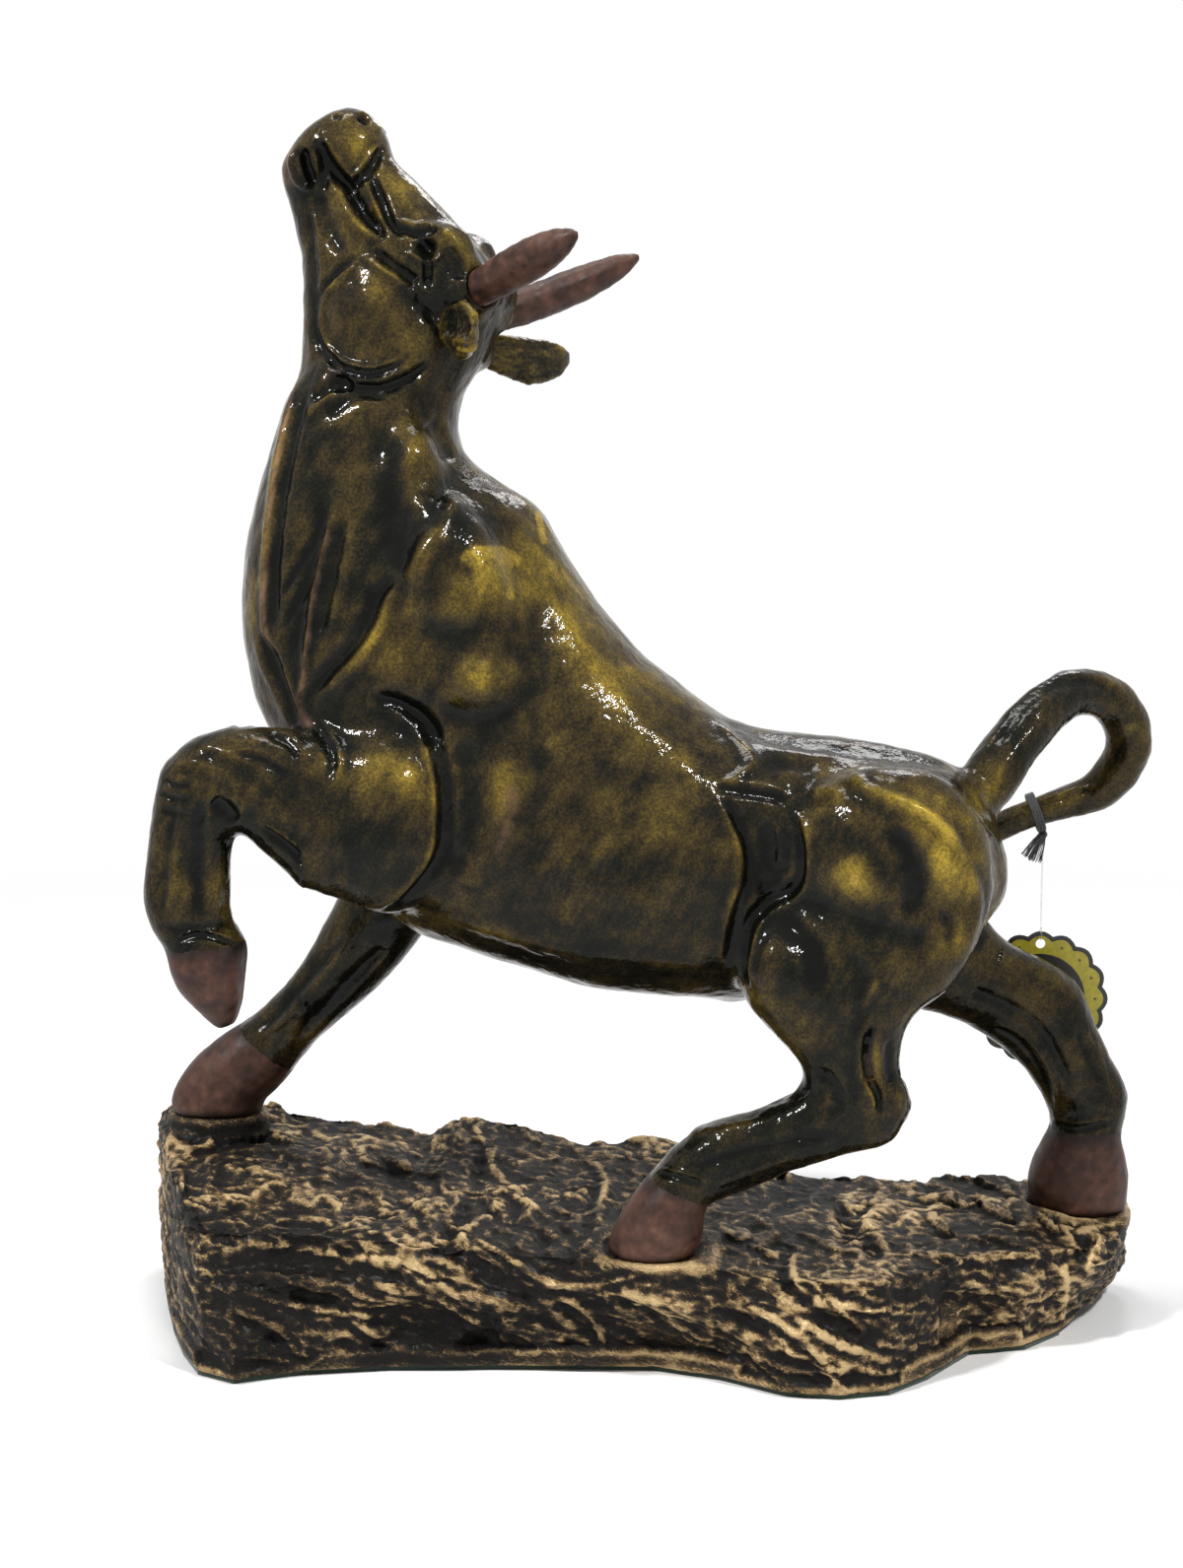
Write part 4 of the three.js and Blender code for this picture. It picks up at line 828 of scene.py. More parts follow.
for node, piece in flesh.items():
    close_ends(piece)
    piece.data.materials.clear()
    if node.startswith("hoof"):
        points = points_of(piece)
        above = points[:, 2] - points[:, 2].min()
        ends = 1 - smooth_step(*SOLE_EDGE, above) + smooth_step(*CORONET, above / above.max())
        set_attributes(piece, height=-np.clip(ends, 0, 1))
print({name: len(piece.data.polygons) for name, piece in flesh.items()})

# %% [markdown]
# ## Horns and ears
# The horns are matt and brown, thick blades with growth rings at the root. The ears are cupped leaves.
# Each is a copy of its solid, remeshed fine and rounded off. Shallow grooves run across the horns and
# fade towards the tips, and fine strokes run along the ears.

# %% Remesh and finish horns and ears
HORN_GRAIN, EAR_GRAIN_DEPTH, EAR_BEND_SPAN, CHIP_SPAN = 0.0006, 0.0003, 0.00003, 1.2


def fine_copy(node, name, grain, passes):
    piece = copy_of(node, name)
    modify(piece, "REMESH", mode="VOXEL", voxel_size=grain * 1.0)
    piece = largest_shell(piece)
    piece.name = name
    soften(piece, passes)
    return piece


def ring_horn(piece, rings=6, depth=0.00006):
    """Grooves across the horn, deepest near the root."""
    points, normals = points_of(piece), normals_of(piece)
    order = np.argsort(np.abs(points[:, 1]))
    root, tip = points[order[:60]].mean(axis=0), points[order[-60:]].mean(axis=0)
    line = tip - root
    along = ((points - root) @ line) / (line @ line)
    wave = np.cos((along + swell(points, 0.008, 0.02)) * rings * 2 * math.pi)
    fade = 1 - smooth_step(0.2, 0.7, along)
    grain = swell(points, 0.004, 0.00022)
    set_points(piece, points + normals * (wave * depth * fade + grain)[:, None])
    set_attributes(piece, height=wave * fade * 0.3)


EAR_STROKES = strokes("""
    mass 1.0 -2.6 -20 464,327 20,24
    line 0.8 0.9 456,300 473,311 487,328 487,346 474,355 456,350
""")
horns, ears = {}, {}
for side in ("left", "right"):
    horns[side] = fine_copy("horn_" + side, "horn_" + side + "_ringed", HORN_GRAIN, 10)
    ring_horn(horns[side])
    ears[side] = ear = fine_copy("ear_" + side, "ear_" + side + "_cupped", HORN_GRAIN, 8)
    cupped = carve(ear, EAR_STROKES, None, 0.0 if side == "right" else None)
    points, normals = points_of(ear), normals_of(ear)
    grain = swell(points * [1.0, 1.0, 3.0], 0.006, EAR_GRAIN_DEPTH)
    set_points(ear, points + normals * grain[:, None])
    set_attributes(
        ear, height=np.clip(grain / (2 * EAR_GRAIN_DEPTH) + cupped / CHIP_SPAN, -1, 1),
        bend=np.clip(roundness(ear) / EAR_BEND_SPAN, -1, 1), gilt=0.1, worn=0.0,
    )
    print(side, len(horns[side].data.polygons), len(ear.data.polygons))

# %% [markdown]
# ## Rock
# The rock is cast from a flaky mould: ledges that run nearly level, chips knocked out of them, and a
# rough grain over all. Its solid is remeshed and pushed about by noise that is stretched along the
# ledges, less near the hooves and the board, which it carries.

# %% Remesh and carve the rock
ROCK_GRAIN, ROCK_BEND_SPAN = 0.00132, 0.00012
LEDGE_DEPTH, FLAKE_DEPTH, PIT_DEPTH = 0.0034, 0.0013, 0.0004
RELIEF_LOW, RELIEF_HIGH = -0.005, 0.0008
SOLES = ("hoof_fore_right", "hoof_hind_left", "hoof_hind_right")
rock = fine_copy("rock_base", "rock_rough", ROCK_GRAIN, 3)
points, normals = points_of(rock), normals_of(rock)


def corners_of_box(node):
    return (np.array(corner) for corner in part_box(node))


rock_low, rock_high = corners_of_box("rock_base")
board_low, board_high = corners_of_box("base_board")
free = smooth_step(0.0005, 0.004, points[:, 2] - rock_low[2])
for node in SOLES:
    low, high = corners_of_box(node)
    gap = np.maximum(np.maximum(low - points, points - high), 0)
    free = np.minimum(free, smooth_step(0.0005, 0.006, np.linalg.norm(gap, axis=1)))
inside = ((points > board_low - 0.0004) & (points < board_high + 0.0004)).all(axis=1)
outward = ((points - (rock_low + rock_high) / 2) * [0.2, 1.0, 1.0] * normals).sum(axis=1)
free[inside | (outward < 0)] = 0


def leaning(points, lean, along, across):
    """Coordinates stretched along ledges that lean by an angle, for noise."""
    angle = math.radians(lean)
    x = points[:, 0] * math.cos(angle) - points[:, 2] * math.sin(angle)
    z = points[:, 0] * math.sin(angle) + points[:, 2] * math.cos(angle)
    return np.stack([x / along, points[:, 1] / along, z / across], axis=1)


def spread_out(values, tail):
    """Values from 0 to 1, with so many in a hundred cut off at each end."""
    low, high = np.percentile(values, (tail, 100 - tail))
    return np.clip((values - low) / (high - low), 0, 1)


def ridges(points, size, octaves):
    """Ridged noise, about 0 in the hollows and 1 on the ridges."""
    values = [noise.ridged_multi_fractal(place, 0.85, 2.1, octaves, 1.0, 2.0) for place in points / size]
    return spread_out(np.array(values), 4)


def plates(points, steps):
    """Flat steps with steep edges between them, from 0 to 1, as split stone has."""
    level = np.minimum(spread_out(swell(points, 1.0, 1.0, 4), 3), 0.999) * steps
    return (np.floor(level) + smooth_step(0.72, 1.0, level - np.floor(level))) / steps


ledges = plates(leaning(points, 16, 0.060, 0.022), 4)
flakes = ridges(leaning(points, 22, 0.014, 0.0046), 1.0, 4)
pits = ridges(points + 7.0, 0.006, 3)
relief = LEDGE_DEPTH * (ledges - 0.85) + FLAKE_DEPTH * (flakes - 0.7) + PIT_DEPTH * (pits - 0.6)
set_points(rock, points + normals * (np.clip(relief, RELIEF_LOW, RELIEF_HIGH) * free)[:, None])

# %% [markdown]
# The big chips and cracks of the rock are strokes of the same tool as on the bull. They come and go, as
# the mould is worn in places.

# %% Strokes on the rock
ROCK_STROKES = strokes("""
    line 1.1 1.5 186,1280 230,1268 280,1262 345,1274 410,1281 450,1304 482,1334
    line 2.4 -1.8 196,1294 240,1284 290,1282 340,1292 400,1298 440,1318
    line 1.0 1.3 244,1311 273,1318 300,1325 345,1332 400,1338
    line 1.8 -2.2 200,1298 250,1303 300,1314 345,1322
    line 1.0 1.4 464,1250 500,1268 532,1287 560,1303 606,1304 658,1290 700,1287
    line 2.4 -2.6 442,1258 470,1276 495,1296 520,1312 552,1324
    line 2.6 -2.6 484,1322 500,1343 484,1362 458,1370
    line 1.6 -1.6 0.9 560,1318 590,1340 610,1372
    line 1.6 -1.5 0.9 620,1316 664,1336 700,1370
    line 1.6 -1.5 0.8 350,1345 390,1370 430,1380
    line 1.6 -1.5 0.8 230,1335 270,1352 300,1378
    line 1.1 1.5 802,1334 840,1357 886,1377
    line 2.2 -2.4 820,1332 858,1350 896,1366
    line 1.0 1.3 842,1324 900,1330 952,1331
    line 1.1 1.5 905,1269 960,1275 1020,1274 1072,1277
    line 1.1 1.2 952,1330 951,1360 949,1394
    line 2.4 -2.8 962,1282 962,1330 958,1390
    line 1.1 1.1 1080,1276 1080,1312 1076,1352
    line 1.0 1.1 1086,1254 1112,1246 1140,1241
    mass 1.0 -2.6 0 1098,1272 13,18
    line 2.2 -3.0 1.2 846,1219 864,1245 880,1261 898,1278
    line 1.0 1.3 808,1268 803,1288 812,1306 842,1324
    line 2.0 -2.4 798,1270 795,1292 804,1312 830,1328
    line 1.8 -2.6 0.9 168,1235 210,1231 256,1221
    line 1.0 1.2 178,1224 214,1214 252,1218 262,1204
    line 1.6 -1.8 0.9 200,1172 232,1160 272,1156 318,1164
    line 1.4 -1.4 0.9 262,1252 300,1244 352,1252 404,1262
    line 1.2 1.3 430,1132 456,1129 478,1142 492,1164 498,1186
    mass 1.0 -2.8 0 486,1184 14,30
    line 1.2 1.5 503,1160 500,1184 524,1212 560,1238
    line 1.6 -1.5 0.9 590,1176 606,1200 590,1226 560,1216
    line 1.6 -1.6 0.8 360,1180 410,1190 452,1200
    line 1.8 -1.6 0.8 905,1216 960,1228 1010,1222
    line 1.6 -1.4 0.8 720,1250 760,1266 790,1290
    line 1.6 -1.6 0.9 740,1330 790,1352 830,1384
""")
broken = np.clip(0.85 + swell(points, 0.0055, 0.7), 0.35, 1.0)
chipped = carve(rock, ROCK_STROKES, free > 0.5, 0.004, broken)
set_points(rock, np.clip(points_of(rock), rock_low, rock_high))
# Faces that look up are made lighter in colour: painted light from above.
set_attributes(
    rock, height=np.clip(flakes + pits - 1.1, -1, 1), chip=np.clip(chipped / CHIP_SPAN, -1, 1),
    top=np.clip(normals_of(rock)[:, 2], 0, 1), bend=np.clip(roundness(rock, 1) / ROCK_BEND_SPAN, -1, 1),
)
pick(rock)
edit()
bpy.ops.mesh.quads_convert_to_tris()
leave()
print("rock", len(rock.data.polygons), "relief", round(relief.min(), 5), round(relief.max(), 5))

# %% [markdown]
# ## Tie, line and tag
# A black cord is wound three times round the tail and knotted below it, and its ends are a short
# brush of threads. From the knot a clear line runs to the tag. The line is a cord that hangs straight
# under the weight of the tag, and ends in a loop through the tag's hole.

# %% The cord round the tail and its knot
TIE_PLACE = Vector((0.137, 0.057, 0.1704))
TIE_AXIS = Vector((-0.93745, 0.0056, -0.34804))
KNOT = Vector((0.139749, 0.057, 0.162994))
LOOP_RADIUS, CORD_RADIUS, CORD_PITCH = 0.0066, 0.00058, 0.00098


def torus(place, turn, radius, thickness, segments, sides):
    bpy.ops.object.select_all(action="DESELECT")
    bpy.ops.mesh.primitive_torus_add(
        location=place, rotation=turn, major_radius=radius, minor_radius=thickness,
        major_segments=segments, minor_segments=sides, generate_uvs=True,
    )
    bpy.ops.object.transform_apply()
    return bpy.context.active_object


tie_turn = TIE_AXIS.to_track_quat("Z", "Y").to_euler()
winding = join("tie_winding", *(
    torus(TIE_PLACE + TIE_AXIS * step * CORD_PITCH, tie_turn, LOOP_RADIUS, CORD_RADIUS, 96, 12)
    for step in (-1, 0, 1)
))
knot = join(
    "tie_knot", torus(KNOT, (0, math.radians(70), math.radians(35)), 0.00105, 0.00072, 40, 14),
    torus(KNOT + Vector((0.0, 0.0, -0.0003)), (math.radians(20), 0, 0), 0.0009, 0.00068, 40, 14),
)
print("winding", len(winding.data.polygons), "knot", len(knot.data.polygons))

# %% [markdown]
# The brush is one thread, copied. Each copy starts in the knot and leans its own way inside a flat fan.

# %% The brush of threads
THREADS, THREAD_RADIUS = 54, 0.00021
TASSEL_LENGTH, TASSEL_LEAN = 0.0106, math.radians(24)
FAN_ROOT, FAN_SPREAD, FAN_POWER, FAN_THICKNESS, FAN_SWELL = 0.0009, 0.0030, 0.8, 0.0005, 0.0009
THREAD_WAVE, THREAD_TAPER, IN_FRONT, FORWARD_LEAN = 0.00025, 0.4, 0.0023, 0.0016
random = np.random.default_rng(7)
threads = []
for number in range(THREADS):
    spread = random.uniform(-1, 1)
    depth_place = random.uniform(-1, 1)
    length = TASSEL_LENGTH * random.uniform(0.86, 1.0) * (1 - 0.08 * abs(spread))
    bpy.ops.object.select_all(action="DESELECT")
    bpy.ops.mesh.primitive_cylinder_add(
        vertices=5, radius=THREAD_RADIUS, depth=length, end_fill_type="TRIFAN",
    )
    thread = bpy.context.active_object
    for cut in (0.2, -0.1, -0.35):
        edit()
        bpy.ops.mesh.bisect(plane_co=(0, 0, length * cut), plane_no=(0, 0, 1))
        leave()
    points = points_of(thread)
    share = np.clip(0.5 - points[:, 2] / length, 0, 1)
    taper = 1 - THREAD_TAPER * share
    wave = THREAD_WAVE * math.sin(number * 2.4) * np.sin(share * 5 + number)
    across = spread * (FAN_ROOT + FAN_SPREAD * share**FAN_POWER) + wave
    through = depth_place * (FAN_THICKNESS + FAN_SWELL * share)
    x = points[:, 0] * taper + across
    z = -share * length
    set_points(thread, np.stack([
        KNOT.x + x * math.cos(TASSEL_LEAN) + z * math.sin(TASSEL_LEAN),
        KNOT.y - IN_FRONT + points[:, 1] * taper + through + FORWARD_LEAN * (1 - share),
        KNOT.z - x * math.sin(TASSEL_LEAN) + z * math.cos(TASSEL_LEAN),
    ], axis=1))
    threads.append(thread)
brush = join("tie_brush", *threads)
print("brush", len(brush.data.polygons), "box", brush.bound_box[0][:], brush.bound_box[6][:])

# %% The line
LINE_TOP, LINE_END, LINE_WIDTH, LINE_STEPS = 0.160794, 0.130344, 0.0006, 15
RING_HEIGHT, RING_RADIUS = 0.127444, 0.0023

curve = bpy.data.curves.new("tag_cord", "CURVE")
curve.dimensions = "3D"
curve.bevel_depth = LINE_WIDTH / 2
curve.bevel_resolution = 3
curve.use_fill_caps = True
spline = curve.splines.new("POLY")
spline.points.add(LINE_STEPS)
for number, point in enumerate(spline.points):
    point.co = (KNOT.x, KNOT.y, LINE_TOP + (LINE_END - LINE_TOP) * (number / LINE_STEPS), 1)
line = bpy.data.objects.new("tag_cord", curve)
bpy.context.scene.collection.objects.link(line)
ring = torus((KNOT.x, KNOT.y, RING_HEIGHT), (0, math.pi / 2, 0), RING_RADIUS, LINE_WIDTH / 2, 56, 12)
ring.name = "tag_ring"
print("line", LINE_TOP - LINE_END)

# %% [markdown]
# ## Finishes
# Each material is built from nodes. A small class makes nodes and sets their inputs, so that a finish
# reads from top to bottom.

# %% Helpers for materials
class Paint:
    """Nodes of a material or world. An input gets a value or another node's output."""

    def __init__(self, owner):
        owner.use_nodes = True
        self.owner, self.tree = owner, owner.node_tree
        self.tree.nodes.clear()

    def add(self, kind, inputs=(), **settings):
        """A new node. inputs holds pairs of socket and value."""
        node = self.tree.nodes.new("ShaderNode" + kind)
        for key, value in settings.items():
            setattr(node, key, value)
        for socket, value in inputs:
            if isinstance(value, bpy.types.NodeSocket):
                self.tree.links.new(value, node.inputs[socket])
            else:
                node.inputs[socket].default_value = value
        return node

    def math(self, operation, first, second=0.0, third=0.0):
        return self.add("Math", [(0, first), (1, second), (2, third)], operation=operation).outputs[0]

    def times(self, first, second):
        return self.math("MULTIPLY", first, second)

    def total(self, start, *parts):
        """start and the sum of (value, share) pairs."""
        for value, share in parts:
            start = self.math("MULTIPLY_ADD", value, share, start)
        return start

    def place(self, kind="Object"):
        return self.add("TexCoord").outputs[kind]

    def cloud(self, scale, detail=3.0, stretch=(1, 1, 1), turn=(0, 0, 0), distortion=0.0):
        """Noise from 0 to 1 on the object's own coordinates."""
        mapping = self.add("Mapping", [
            ("Vector", self.place()), ("Scale", [1 / share for share in stretch]), ("Rotation", turn),
        ], vector_type="TEXTURE")
        return self.add("TexNoise", [
            ("Vector", mapping.outputs[0]), ("Scale", scale), ("Detail", detail), ("Distortion", distortion),
        ]).outputs["Fac"]

    def attribute(self, name):
        return self.add("Attribute", attribute_name=name).outputs["Fac"]

    def ramp(self, value, stops):
        """A colour ramp from (place, colour) pairs."""
        node = self.add("ValToRGB", [(0, value)])
        elements = node.color_ramp.elements
        while len(elements) < len(stops):
            elements.new(0.5)
        for element, (place, colour) in zip(elements, stops):
            element.position = place
            element.color = (*colour, 1)
        return node.outputs[0]

    def between(self, value, low, high, to_low=0.0, to_high=1.0):
        return self.add("MapRange", [
            ("Value", value), ("From Min", low), ("From Max", high), ("To Min", to_low), ("To Max", to_high),
        ]).outputs[0]

    def mix(self, share, first, second):
        return self.add("Mix", [(0, share), (6, first), (7, second)], data_type="RGBA").outputs[2]

    def bump(self, height, depth, strength=1.0, *normal):
        inputs = [("Height", height), ("Distance", depth), ("Strength", strength)]
        return self.add("Bump", inputs + [("Normal", output) for output in normal]).outputs[0]

    def surface(self, inputs):
        """Ends a finish with a Principled shader, and gives back the material."""
        shader = self.add("BsdfPrincipled", inputs.items())
        self.add("OutputMaterial", [("Surface", shader.outputs[0])])
        return self.owner


def new_paint(name):
    return Paint(bpy.data.materials.new(name))


# %% [markdown]
# ### Painted and lacquered bronze
# The resin is painted near black, then olive and gold are rubbed over what stands out, and a clear
# lacquer is brushed over all. Noise in three sizes lays the patches, the height that the carving left
# and the bend of the surface say where the gold sits, and a speckle breaks it up. The patches of the
# skin also darken the places where shade is painted: under the belly, in hollows and over the legs.

# %% Bronze
def bronze_material(name):
    paint = new_paint(name)
    patches = paint.cloud(20.0, 5.0, distortion=1.3)
    blotches = paint.cloud(85.0, 6.0, distortion=0.5)
    speckle = paint.cloud(1150.0, 3.0)
    brushing = paint.cloud(300.0, 4.0, stretch=(1.0, 1.0, 0.16), turn=(0.0, 0.5, 0.0))
    # Gold against black, with the painted shade of the skin's black patches.
    gilt = paint.total(
        paint.between(patches, 0.34, 0.66, 0.15, 0.46),
        (paint.between(blotches, 0.32, 0.68, -0.5, 0.5), 0.24),
        (paint.between(speckle, 0.35, 0.65, -0.5, 0.5), 0.20),
        (paint.between(brushing, 0.3, 0.7, -0.5, 0.5), 0.16),
        (paint.attribute("gilt"), 0.46), (paint.attribute("bend"), 0.14), (paint.attribute("height"), 0.24),
    )
    olive = paint.ramp(gilt, [
        (0.05, (0.0035, 0.0038, 0.003)), (0.20, (0.009, 0.0085, 0.005)), (0.34, (0.025, 0.0175, 0.007)),
        (0.50, (0.052, 0.0365, 0.010)), (0.66, (0.102, 0.070, 0.013)), (0.82, (0.19, 0.130, 0.018)),
        (1.00, (0.33, 0.228, 0.034)),
    ])
    bare = paint.times(paint.attribute("worn"), paint.between(brushing, 0.3, 0.55, 0.3, 1.0))
    bare = paint.times(bare, paint.between(blotches, 0.36, 0.56, 0.25, 1.0))
    grain = paint.bump(paint.cloud(900.0, 3.0), 0.00010, 0.5)
    runs = paint.cloud(170.0, 4.0, stretch=(1.0, 1.0, 0.6))
    fine_runs = paint.cloud(620.0, 3.0, stretch=(1.0, 1.0, 0.35), turn=(0.0, 0.5, 0.0))
    return paint.surface({
        "Base Color": paint.mix(bare, olive, (0.16, 0.094, 0.066, 1)),
        "Normal": paint.bump(brushing, 0.00025, 0.5, grain),
        "Roughness": paint.between(blotches, 0.3, 0.7, 0.34, 0.5),
        "Metallic": 0.2, "Specular IOR Level": 0.0, "Specular Tint": (0.5, 0.4, 0.2, 1),
        "Coat Normal": paint.bump(paint.total(runs, (fine_runs, 0.3)), 0.0011, 0.5),
        "Coat Weight": paint.between(bare, 0.0, 1.0, 0.85, 0.3), "Coat Roughness": 0.055, "Coat IOR": 1.23,
    })


bronze = bronze_material("lacquered_bronze")

# %% [markdown]
# ### Horn, rock, thread, line, tag and the hidden base
# Horns and hooves are a dull red brown. The rock is near black with gold dragged over its ridges by an
# almost dry brush, and its faces that look up are lighter, which is painted light from above. The tag is
# printed: a black rim, a yellow ring with a dot in each scallop, and a black middle, all as sums of the
# distance and angle from its centre.

# %% Horn and rock
def horn_material():
    paint = new_paint("matt_horn")
    streaks = paint.cloud(300.0, 4.0, stretch=(1.0, 0.35, 1.0), turn=(0.4, 0.5, 0.0))
    patches = paint.cloud(70.0, 4.0, distortion=0.6)
    tone = paint.total(paint.times(patches, 0.5), (streaks, 0.5), (paint.attribute("height"), 0.2))
    return paint.surface({
        "Base Color": paint.ramp(tone, [
            (0.26, (0.009, 0.005, 0.004)), (0.42, (0.032, 0.0145, 0.010)), (0.58, (0.072, 0.033, 0.022)),
            (0.76, (0.135, 0.070, 0.048)),
        ]),
        "Roughness": paint.between(streaks, 0.3, 0.7, 0.36, 0.58),
        "Normal": paint.bump(streaks, 0.0002, 0.6), "Specular IOR Level": 0.2,
    })


def rock_material():
    paint = new_paint("dry_brushed_rock")

    def veins(scale, detail, width, distortion):
        """Thin lines where leaning noise crosses its middle."""
        leaning_noise = paint.cloud(scale, detail, (1.0, 1.0, 2.6), (0.0, 0.38, 0.0), distortion)
        away = paint.math("ABSOLUTE", paint.math("SUBTRACT", leaning_noise, 0.5))
        return paint.between(away, 0.0, width, 1.0, 0.0)

    lines, crumbs = veins(105.0, 6.0, 0.035, 1.4), veins(420.0, 4.0, 0.06, 0.9)
    patches = paint.between(paint.cloud(22.0, 5.0, distortion=0.8), 0.34, 0.66, -0.5, 0.5)
    breaks = paint.between(paint.cloud(260.0, 4.0), 0.38, 0.6, 0.15, 1.0)
    # Gold is rubbed on chips, lines and edges. Faces that look up get more of it, which is painted light
    # from above.
    rubbed_gold_and_top_light = paint.total(
        paint.times(crumbs, 0.24), (lines, 0.26), (paint.attribute("bend"), 0.36),
        (paint.attribute("height"), 0.12), (paint.times(paint.attribute("chip"), breaks), 0.42),
        (patches, 0.56), (paint.attribute("top"), 0.13),
    )
    return paint.surface({
        "Base Color": paint.ramp(rubbed_gold_and_top_light, [
            (0.04, (0.006, 0.0052, 0.0045)), (0.20, (0.017, 0.0125, 0.008)), (0.36, (0.062, 0.040, 0.020)),
            (0.54, (0.25, 0.162, 0.072)), (0.82, (0.64, 0.46, 0.235)),
        ]),
        "Normal": paint.bump(paint.total(paint.times(crumbs, 0.4), (lines, 0.5)), 0.0008, 0.8),
        "Roughness": paint.between(rubbed_gold_and_top_light, 0.1, 0.6, 0.62, 0.42),
        "Metallic": paint.between(rubbed_gold_and_top_light, 0.4, 0.8, 0.0, 0.4), "Specular IOR Level": 0.12,
        "Coat Weight": 0.08, "Coat Roughness": 0.3,
    })


horn, stone = horn_material(), rock_material()

# %% Thread, line and tag
def thread_material():
    paint = new_paint("black_thread")
    twist = paint.add("TexWave", [
        ("Vector", paint.place("UV")), ("Scale", 22.0), ("Distortion", 0.4),
    ], bands_direction="DIAGONAL").outputs["Fac"]
    return paint.surface({
        "Base Color": paint.ramp(twist, [(0.0, (0.004, 0.004, 0.0045)), (1.0, (0.022, 0.022, 0.024))]),
        "Normal": paint.bump(twist, 0.0002, 0.8), "Roughness": 0.62, "Sheen Weight": 0.15,
    })


def line_material():
    paint = new_paint("clear_line")
    tint = paint.ramp(paint.cloud(500.0, 2.0), [(0.3, (0.80, 0.80, 0.78)), (0.7, (0.9, 0.9, 0.89))])
    return paint.surface({"Base Color": tint, "Roughness": 0.08, "Transmission Weight": 0.92, "IOR": 1.4})


TAG_MIDDLE = Vector((0.139749, 0.057, 0.104594))
TAG_RADIUS, TAG_SCALLOPS, TAG_SCALLOP_DEPTH, TAG_RIM = 0.0238, 16, 0.00184, 0.0016
TAG_INNER, TAG_DOTS, TAG_DOT_RADIUS = 0.0158, 0.0193, 0.00055


def tag_material():
    paint = new_paint("printed_tag")
    local = paint.add("VectorMath", [(0, paint.place()), (1, TAG_MIDDLE)], operation="SUBTRACT").outputs[0]
    x, _, z = paint.add("SeparateXYZ", [(0, local)]).outputs

    def length(a, b):
        return paint.math("SQRT", paint.total(paint.times(b, b), (a, a)))

    reach, angle = length(x, z), paint.math("ARCTAN2", x, z)
    lobe = paint.math("ABSOLUTE", paint.math("COSINE", paint.times(angle, TAG_SCALLOPS / 2)))
    edge = paint.total(TAG_RADIUS - TAG_SCALLOP_DEPTH, (lobe, TAG_SCALLOP_DEPTH))
    outer = paint.math("LESS_THAN", reach, paint.math("SUBTRACT", edge, TAG_RIM))
    yellow = paint.times(outer, paint.math("GREATER_THAN", reach, TAG_INNER))
    step = 2 * math.pi / TAG_SCALLOPS
    turned = paint.math("MODULO", paint.math("ADD", angle, step * (TAG_SCALLOPS + 0.5)), step)
    sideways = paint.times(paint.math("SUBTRACT", turned, step / 2), TAG_DOTS)
    dot = paint.math("LESS_THAN", length(sideways, paint.math("SUBTRACT", reach, TAG_DOTS)), TAG_DOT_RADIUS)
    fibre = paint.cloud(700.0, 3.0)
    paper = paint.ramp(fibre, [(0.3, (0.30, 0.25, 0.012)), (0.7, (0.40, 0.34, 0.02))])
    ink = paint.ramp(fibre, [(0.3, (0.006, 0.006, 0.006)), (0.7, (0.012, 0.012, 0.011))])
    return paint.surface({
        "Base Color": paint.mix(yellow, ink, paint.mix(dot, paper, (0.10, 0.07, 0.01, 1))),
        "Normal": paint.bump(fibre, 0.00004, 0.3), "Roughness": 0.35,
    })


thread, clear_line, printed = thread_material(), line_material(), tag_material()

# %% [markdown]
# The parts that only show from below, or never, are finished as well: brown board, green felt, and
# steel for pins, studs, nuts and screws.

# %% Board, felt and steel
def plain_material(name, low, high, scale, roughness, stretch=(1, 1, 1), depth=0.0001, **settings):
    paint = new_paint(name)
    grain = paint.cloud(scale, 4.0, stretch=stretch, distortion=0.4)
    return paint.surface({
        "Base Color": paint.ramp(grain, [(0.3, low), (0.7, high)]), "Normal": paint.bump(grain, depth, 0.7),
        "Roughness": paint.between(grain, 0.3, 0.7, *roughness), **settings,
    })


board = plain_material(
    "fibre_board", (0.22, 0.135, 0.07), (0.36, 0.24, 0.13), 260.0, (0.7, 0.85), stretch=(0.2, 1, 1),
)
felt = plain_material(
    "green_felt", (0.012, 0.026, 0.016), (0.026, 0.048, 0.032), 1400.0, (0.9, 1.0), depth=0.0004,
    **{"Sheen Weight": 0.4},
)
steel = plain_material(
    "zinc_steel", (0.42, 0.43, 0.45), (0.60, 0.61, 0.63), 600.0, (0.28, 0.42), Metallic=1.0,
)

# %% [markdown]
# ## Put the finishes on
# Every piece rides on the body that its solid belongs to, and stands for that solid. The tag and the
# hidden parts keep their solids from the frame and only get a finish.

# %% Give each piece its finish
for node, piece in flesh.items():
    hoof = node.startswith("hoof")
    finish_piece(piece, "figurine", horn if hoof else bronze, [node])
for side in ("left", "right"):
    finish_piece(horns[side], "figurine", horn, ["horn_" + side])
    finish_piece(ears[side], "figurine", bronze, ["ear_" + side])
finish_piece(rock, "figurine", stone, ["rock_base"])
for piece in (winding, knot, brush):
    finish_piece(piece, "tie", thread, ["tail_tie"])
line.data.materials.append(clear_line)
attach(line, "line")
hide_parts("tag_line")
finish_piece(ring, "line", clear_line, ["tag_line_eye"])
STEEL_PARTS = ("pin", "screw", "stud")
kept = {name: steel for name in frame["nodes"] if any(word in name for word in STEEL_PARTS)}
kept.update(swing_tag=printed, base_board=board, base_felt=felt)
for name, material in kept.items():
    frame["nodes"][name].data.materials.clear()
    frame["nodes"][name].data.materials.append(material)
print("finished", sorted(kept))

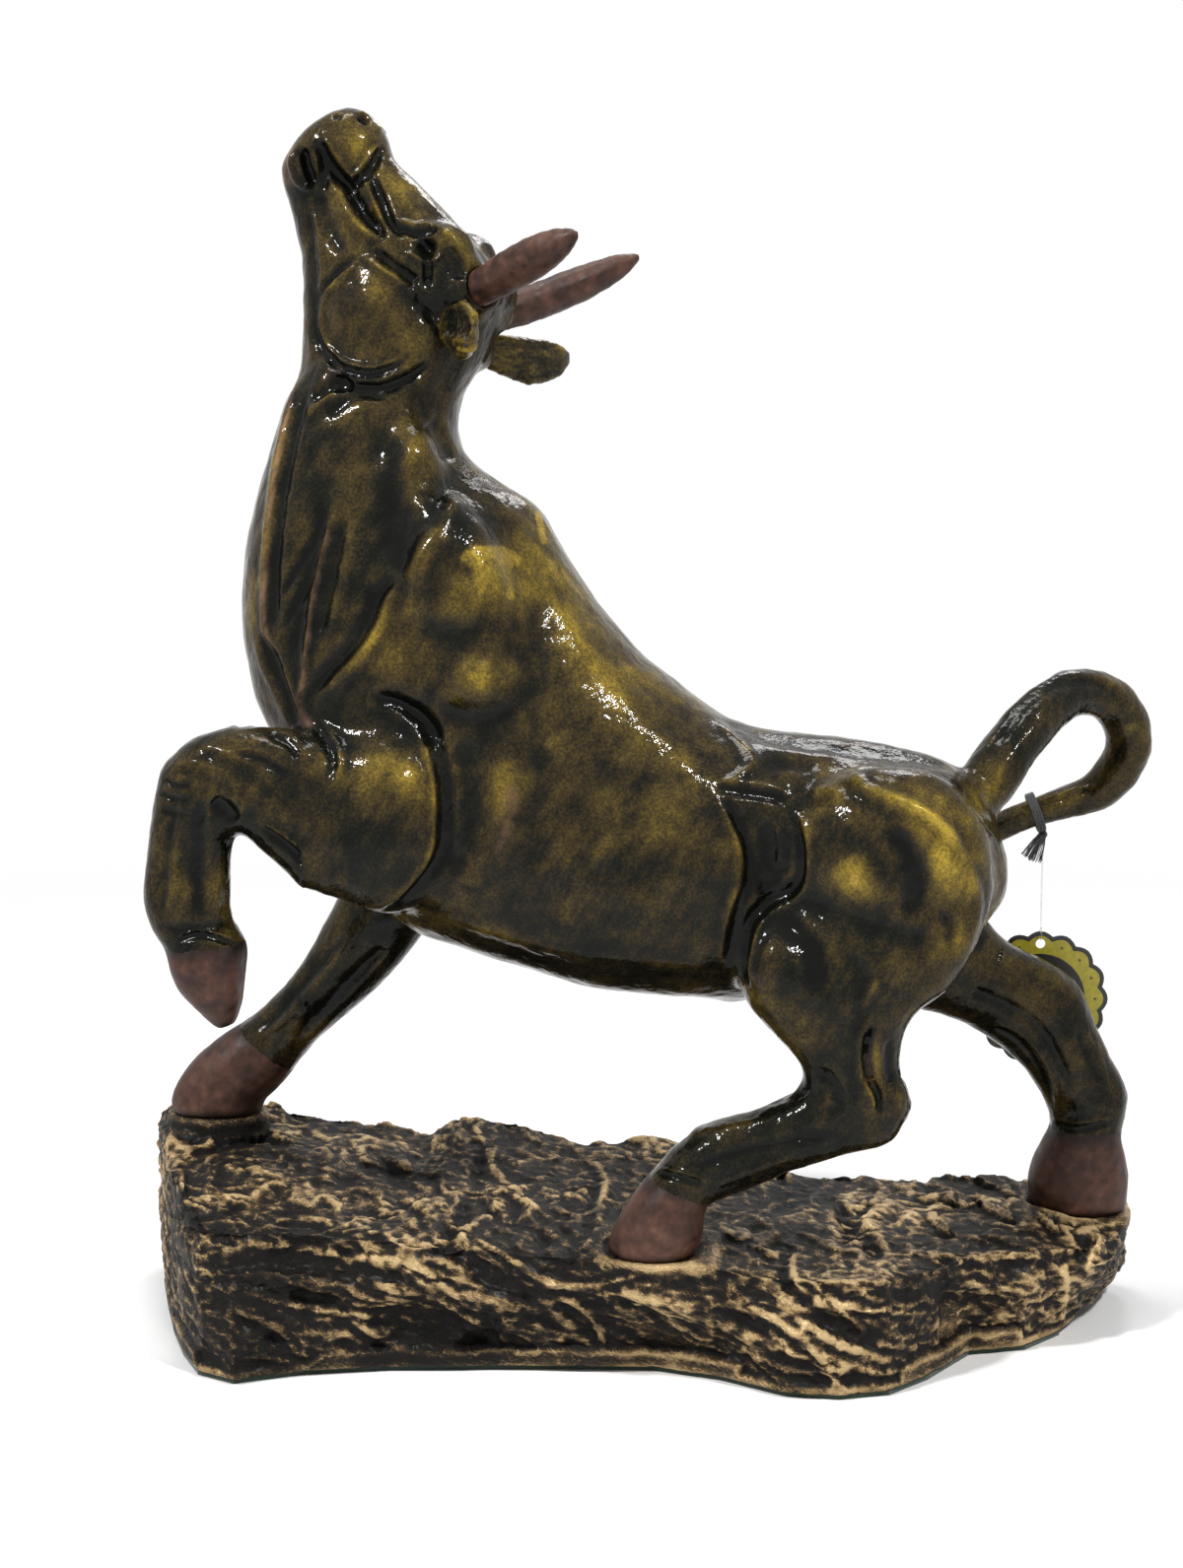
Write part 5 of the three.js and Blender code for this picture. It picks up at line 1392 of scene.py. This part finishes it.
# %% [markdown]
# ## Floor and light
# A pale floor that turns white in the distance, a soft grey sky, and four lamps: two small ones in
# front, whose bright reflections show the lacquer, and larger ones above and behind. The camera and
# the reflections see a white room, while the light on the figurine comes from the grey sky.

# %% Floor, sky and lamps
def sees_white(paint):
    """1 for the rays that see the white room: from the camera, off gloss and through the line."""
    rays = paint.add("LightPath").outputs
    seen = paint.math("MAXIMUM", rays["Is Camera Ray"], rays["Is Glossy Ray"])
    return paint.math("MAXIMUM", seen, rays["Is Transmission Ray"])


def blend(paint, share, first, second):
    return paint.add("MixShader", [(0, share), (1, first.outputs[0]), (2, second.outputs[0])]).outputs[0]


WHITE, SKY, SKY_STRENGTH = (1.0, 1.0, 1.0, 1), (0.95, 0.97, 1.0, 1), 0.26
LAMP_AIM = Vector((0, 0, 0.2))
bpy.ops.object.select_all(action="DESELECT")
bpy.ops.mesh.primitive_plane_add(size=6.0, location=(0, 0, 0))
floor = bpy.context.active_object
floor.name = "floor"
pale = new_paint("pale_floor")
ground = pale.add("BsdfPrincipled", [
    ("Base Color", pale.ramp(pale.cloud(3.0, 2.0), [(0.3, (0.86, 0.86, 0.86)), (0.7, (0.88, 0.88, 0.88))])),
    ("Roughness", 0.8), ("Specular IOR Level", 0.1),
])
reach = pale.add("VectorMath", [(0, pale.place())], operation="LENGTH").outputs["Value"]
far = pale.times(pale.between(reach, 0.35, 1.1), sees_white(pale))
glow = pale.add("Emission", [("Color", WHITE), ("Strength", 1.0)])
pale.add("OutputMaterial", [("Surface", blend(pale, far, ground, glow))])
floor.data.materials.append(pale.owner)

world = bpy.data.worlds.new("room")
bpy.context.scene.world = world
room = Paint(world)
sky = room.add("Background", [("Color", SKY), ("Strength", SKY_STRENGTH)])
white = room.add("Background", [("Color", WHITE), ("Strength", 1.0)])
room.add("OutputWorld", [("Surface", blend(room, sees_white(room), sky, white))])


def lamp(name, place, size, power):
    bpy.ops.object.light_add(type="AREA", location=place)
    light = bpy.context.active_object
    light.name, light.data.shape, light.data.size, light.data.energy = name, "DISK", size, power
    light.rotation_euler = (Vector(place) - LAMP_AIM).to_track_quat("Z", "Y").to_euler()


lamp("lamp_left", (-0.9, -0.8, 1.35), 0.16, 24.5)
lamp("lamp_right", (0.75, -0.75, 1.45), 0.14, 19.0)
lamp("lamp_top", (-0.1, 0.15, 1.7), 0.5, 11.0)
lamp("lamp_back", (0.3, 1.0, 1.2), 0.4, 4.0)

bpy.context.scene.view_settings.view_transform = "Standard"
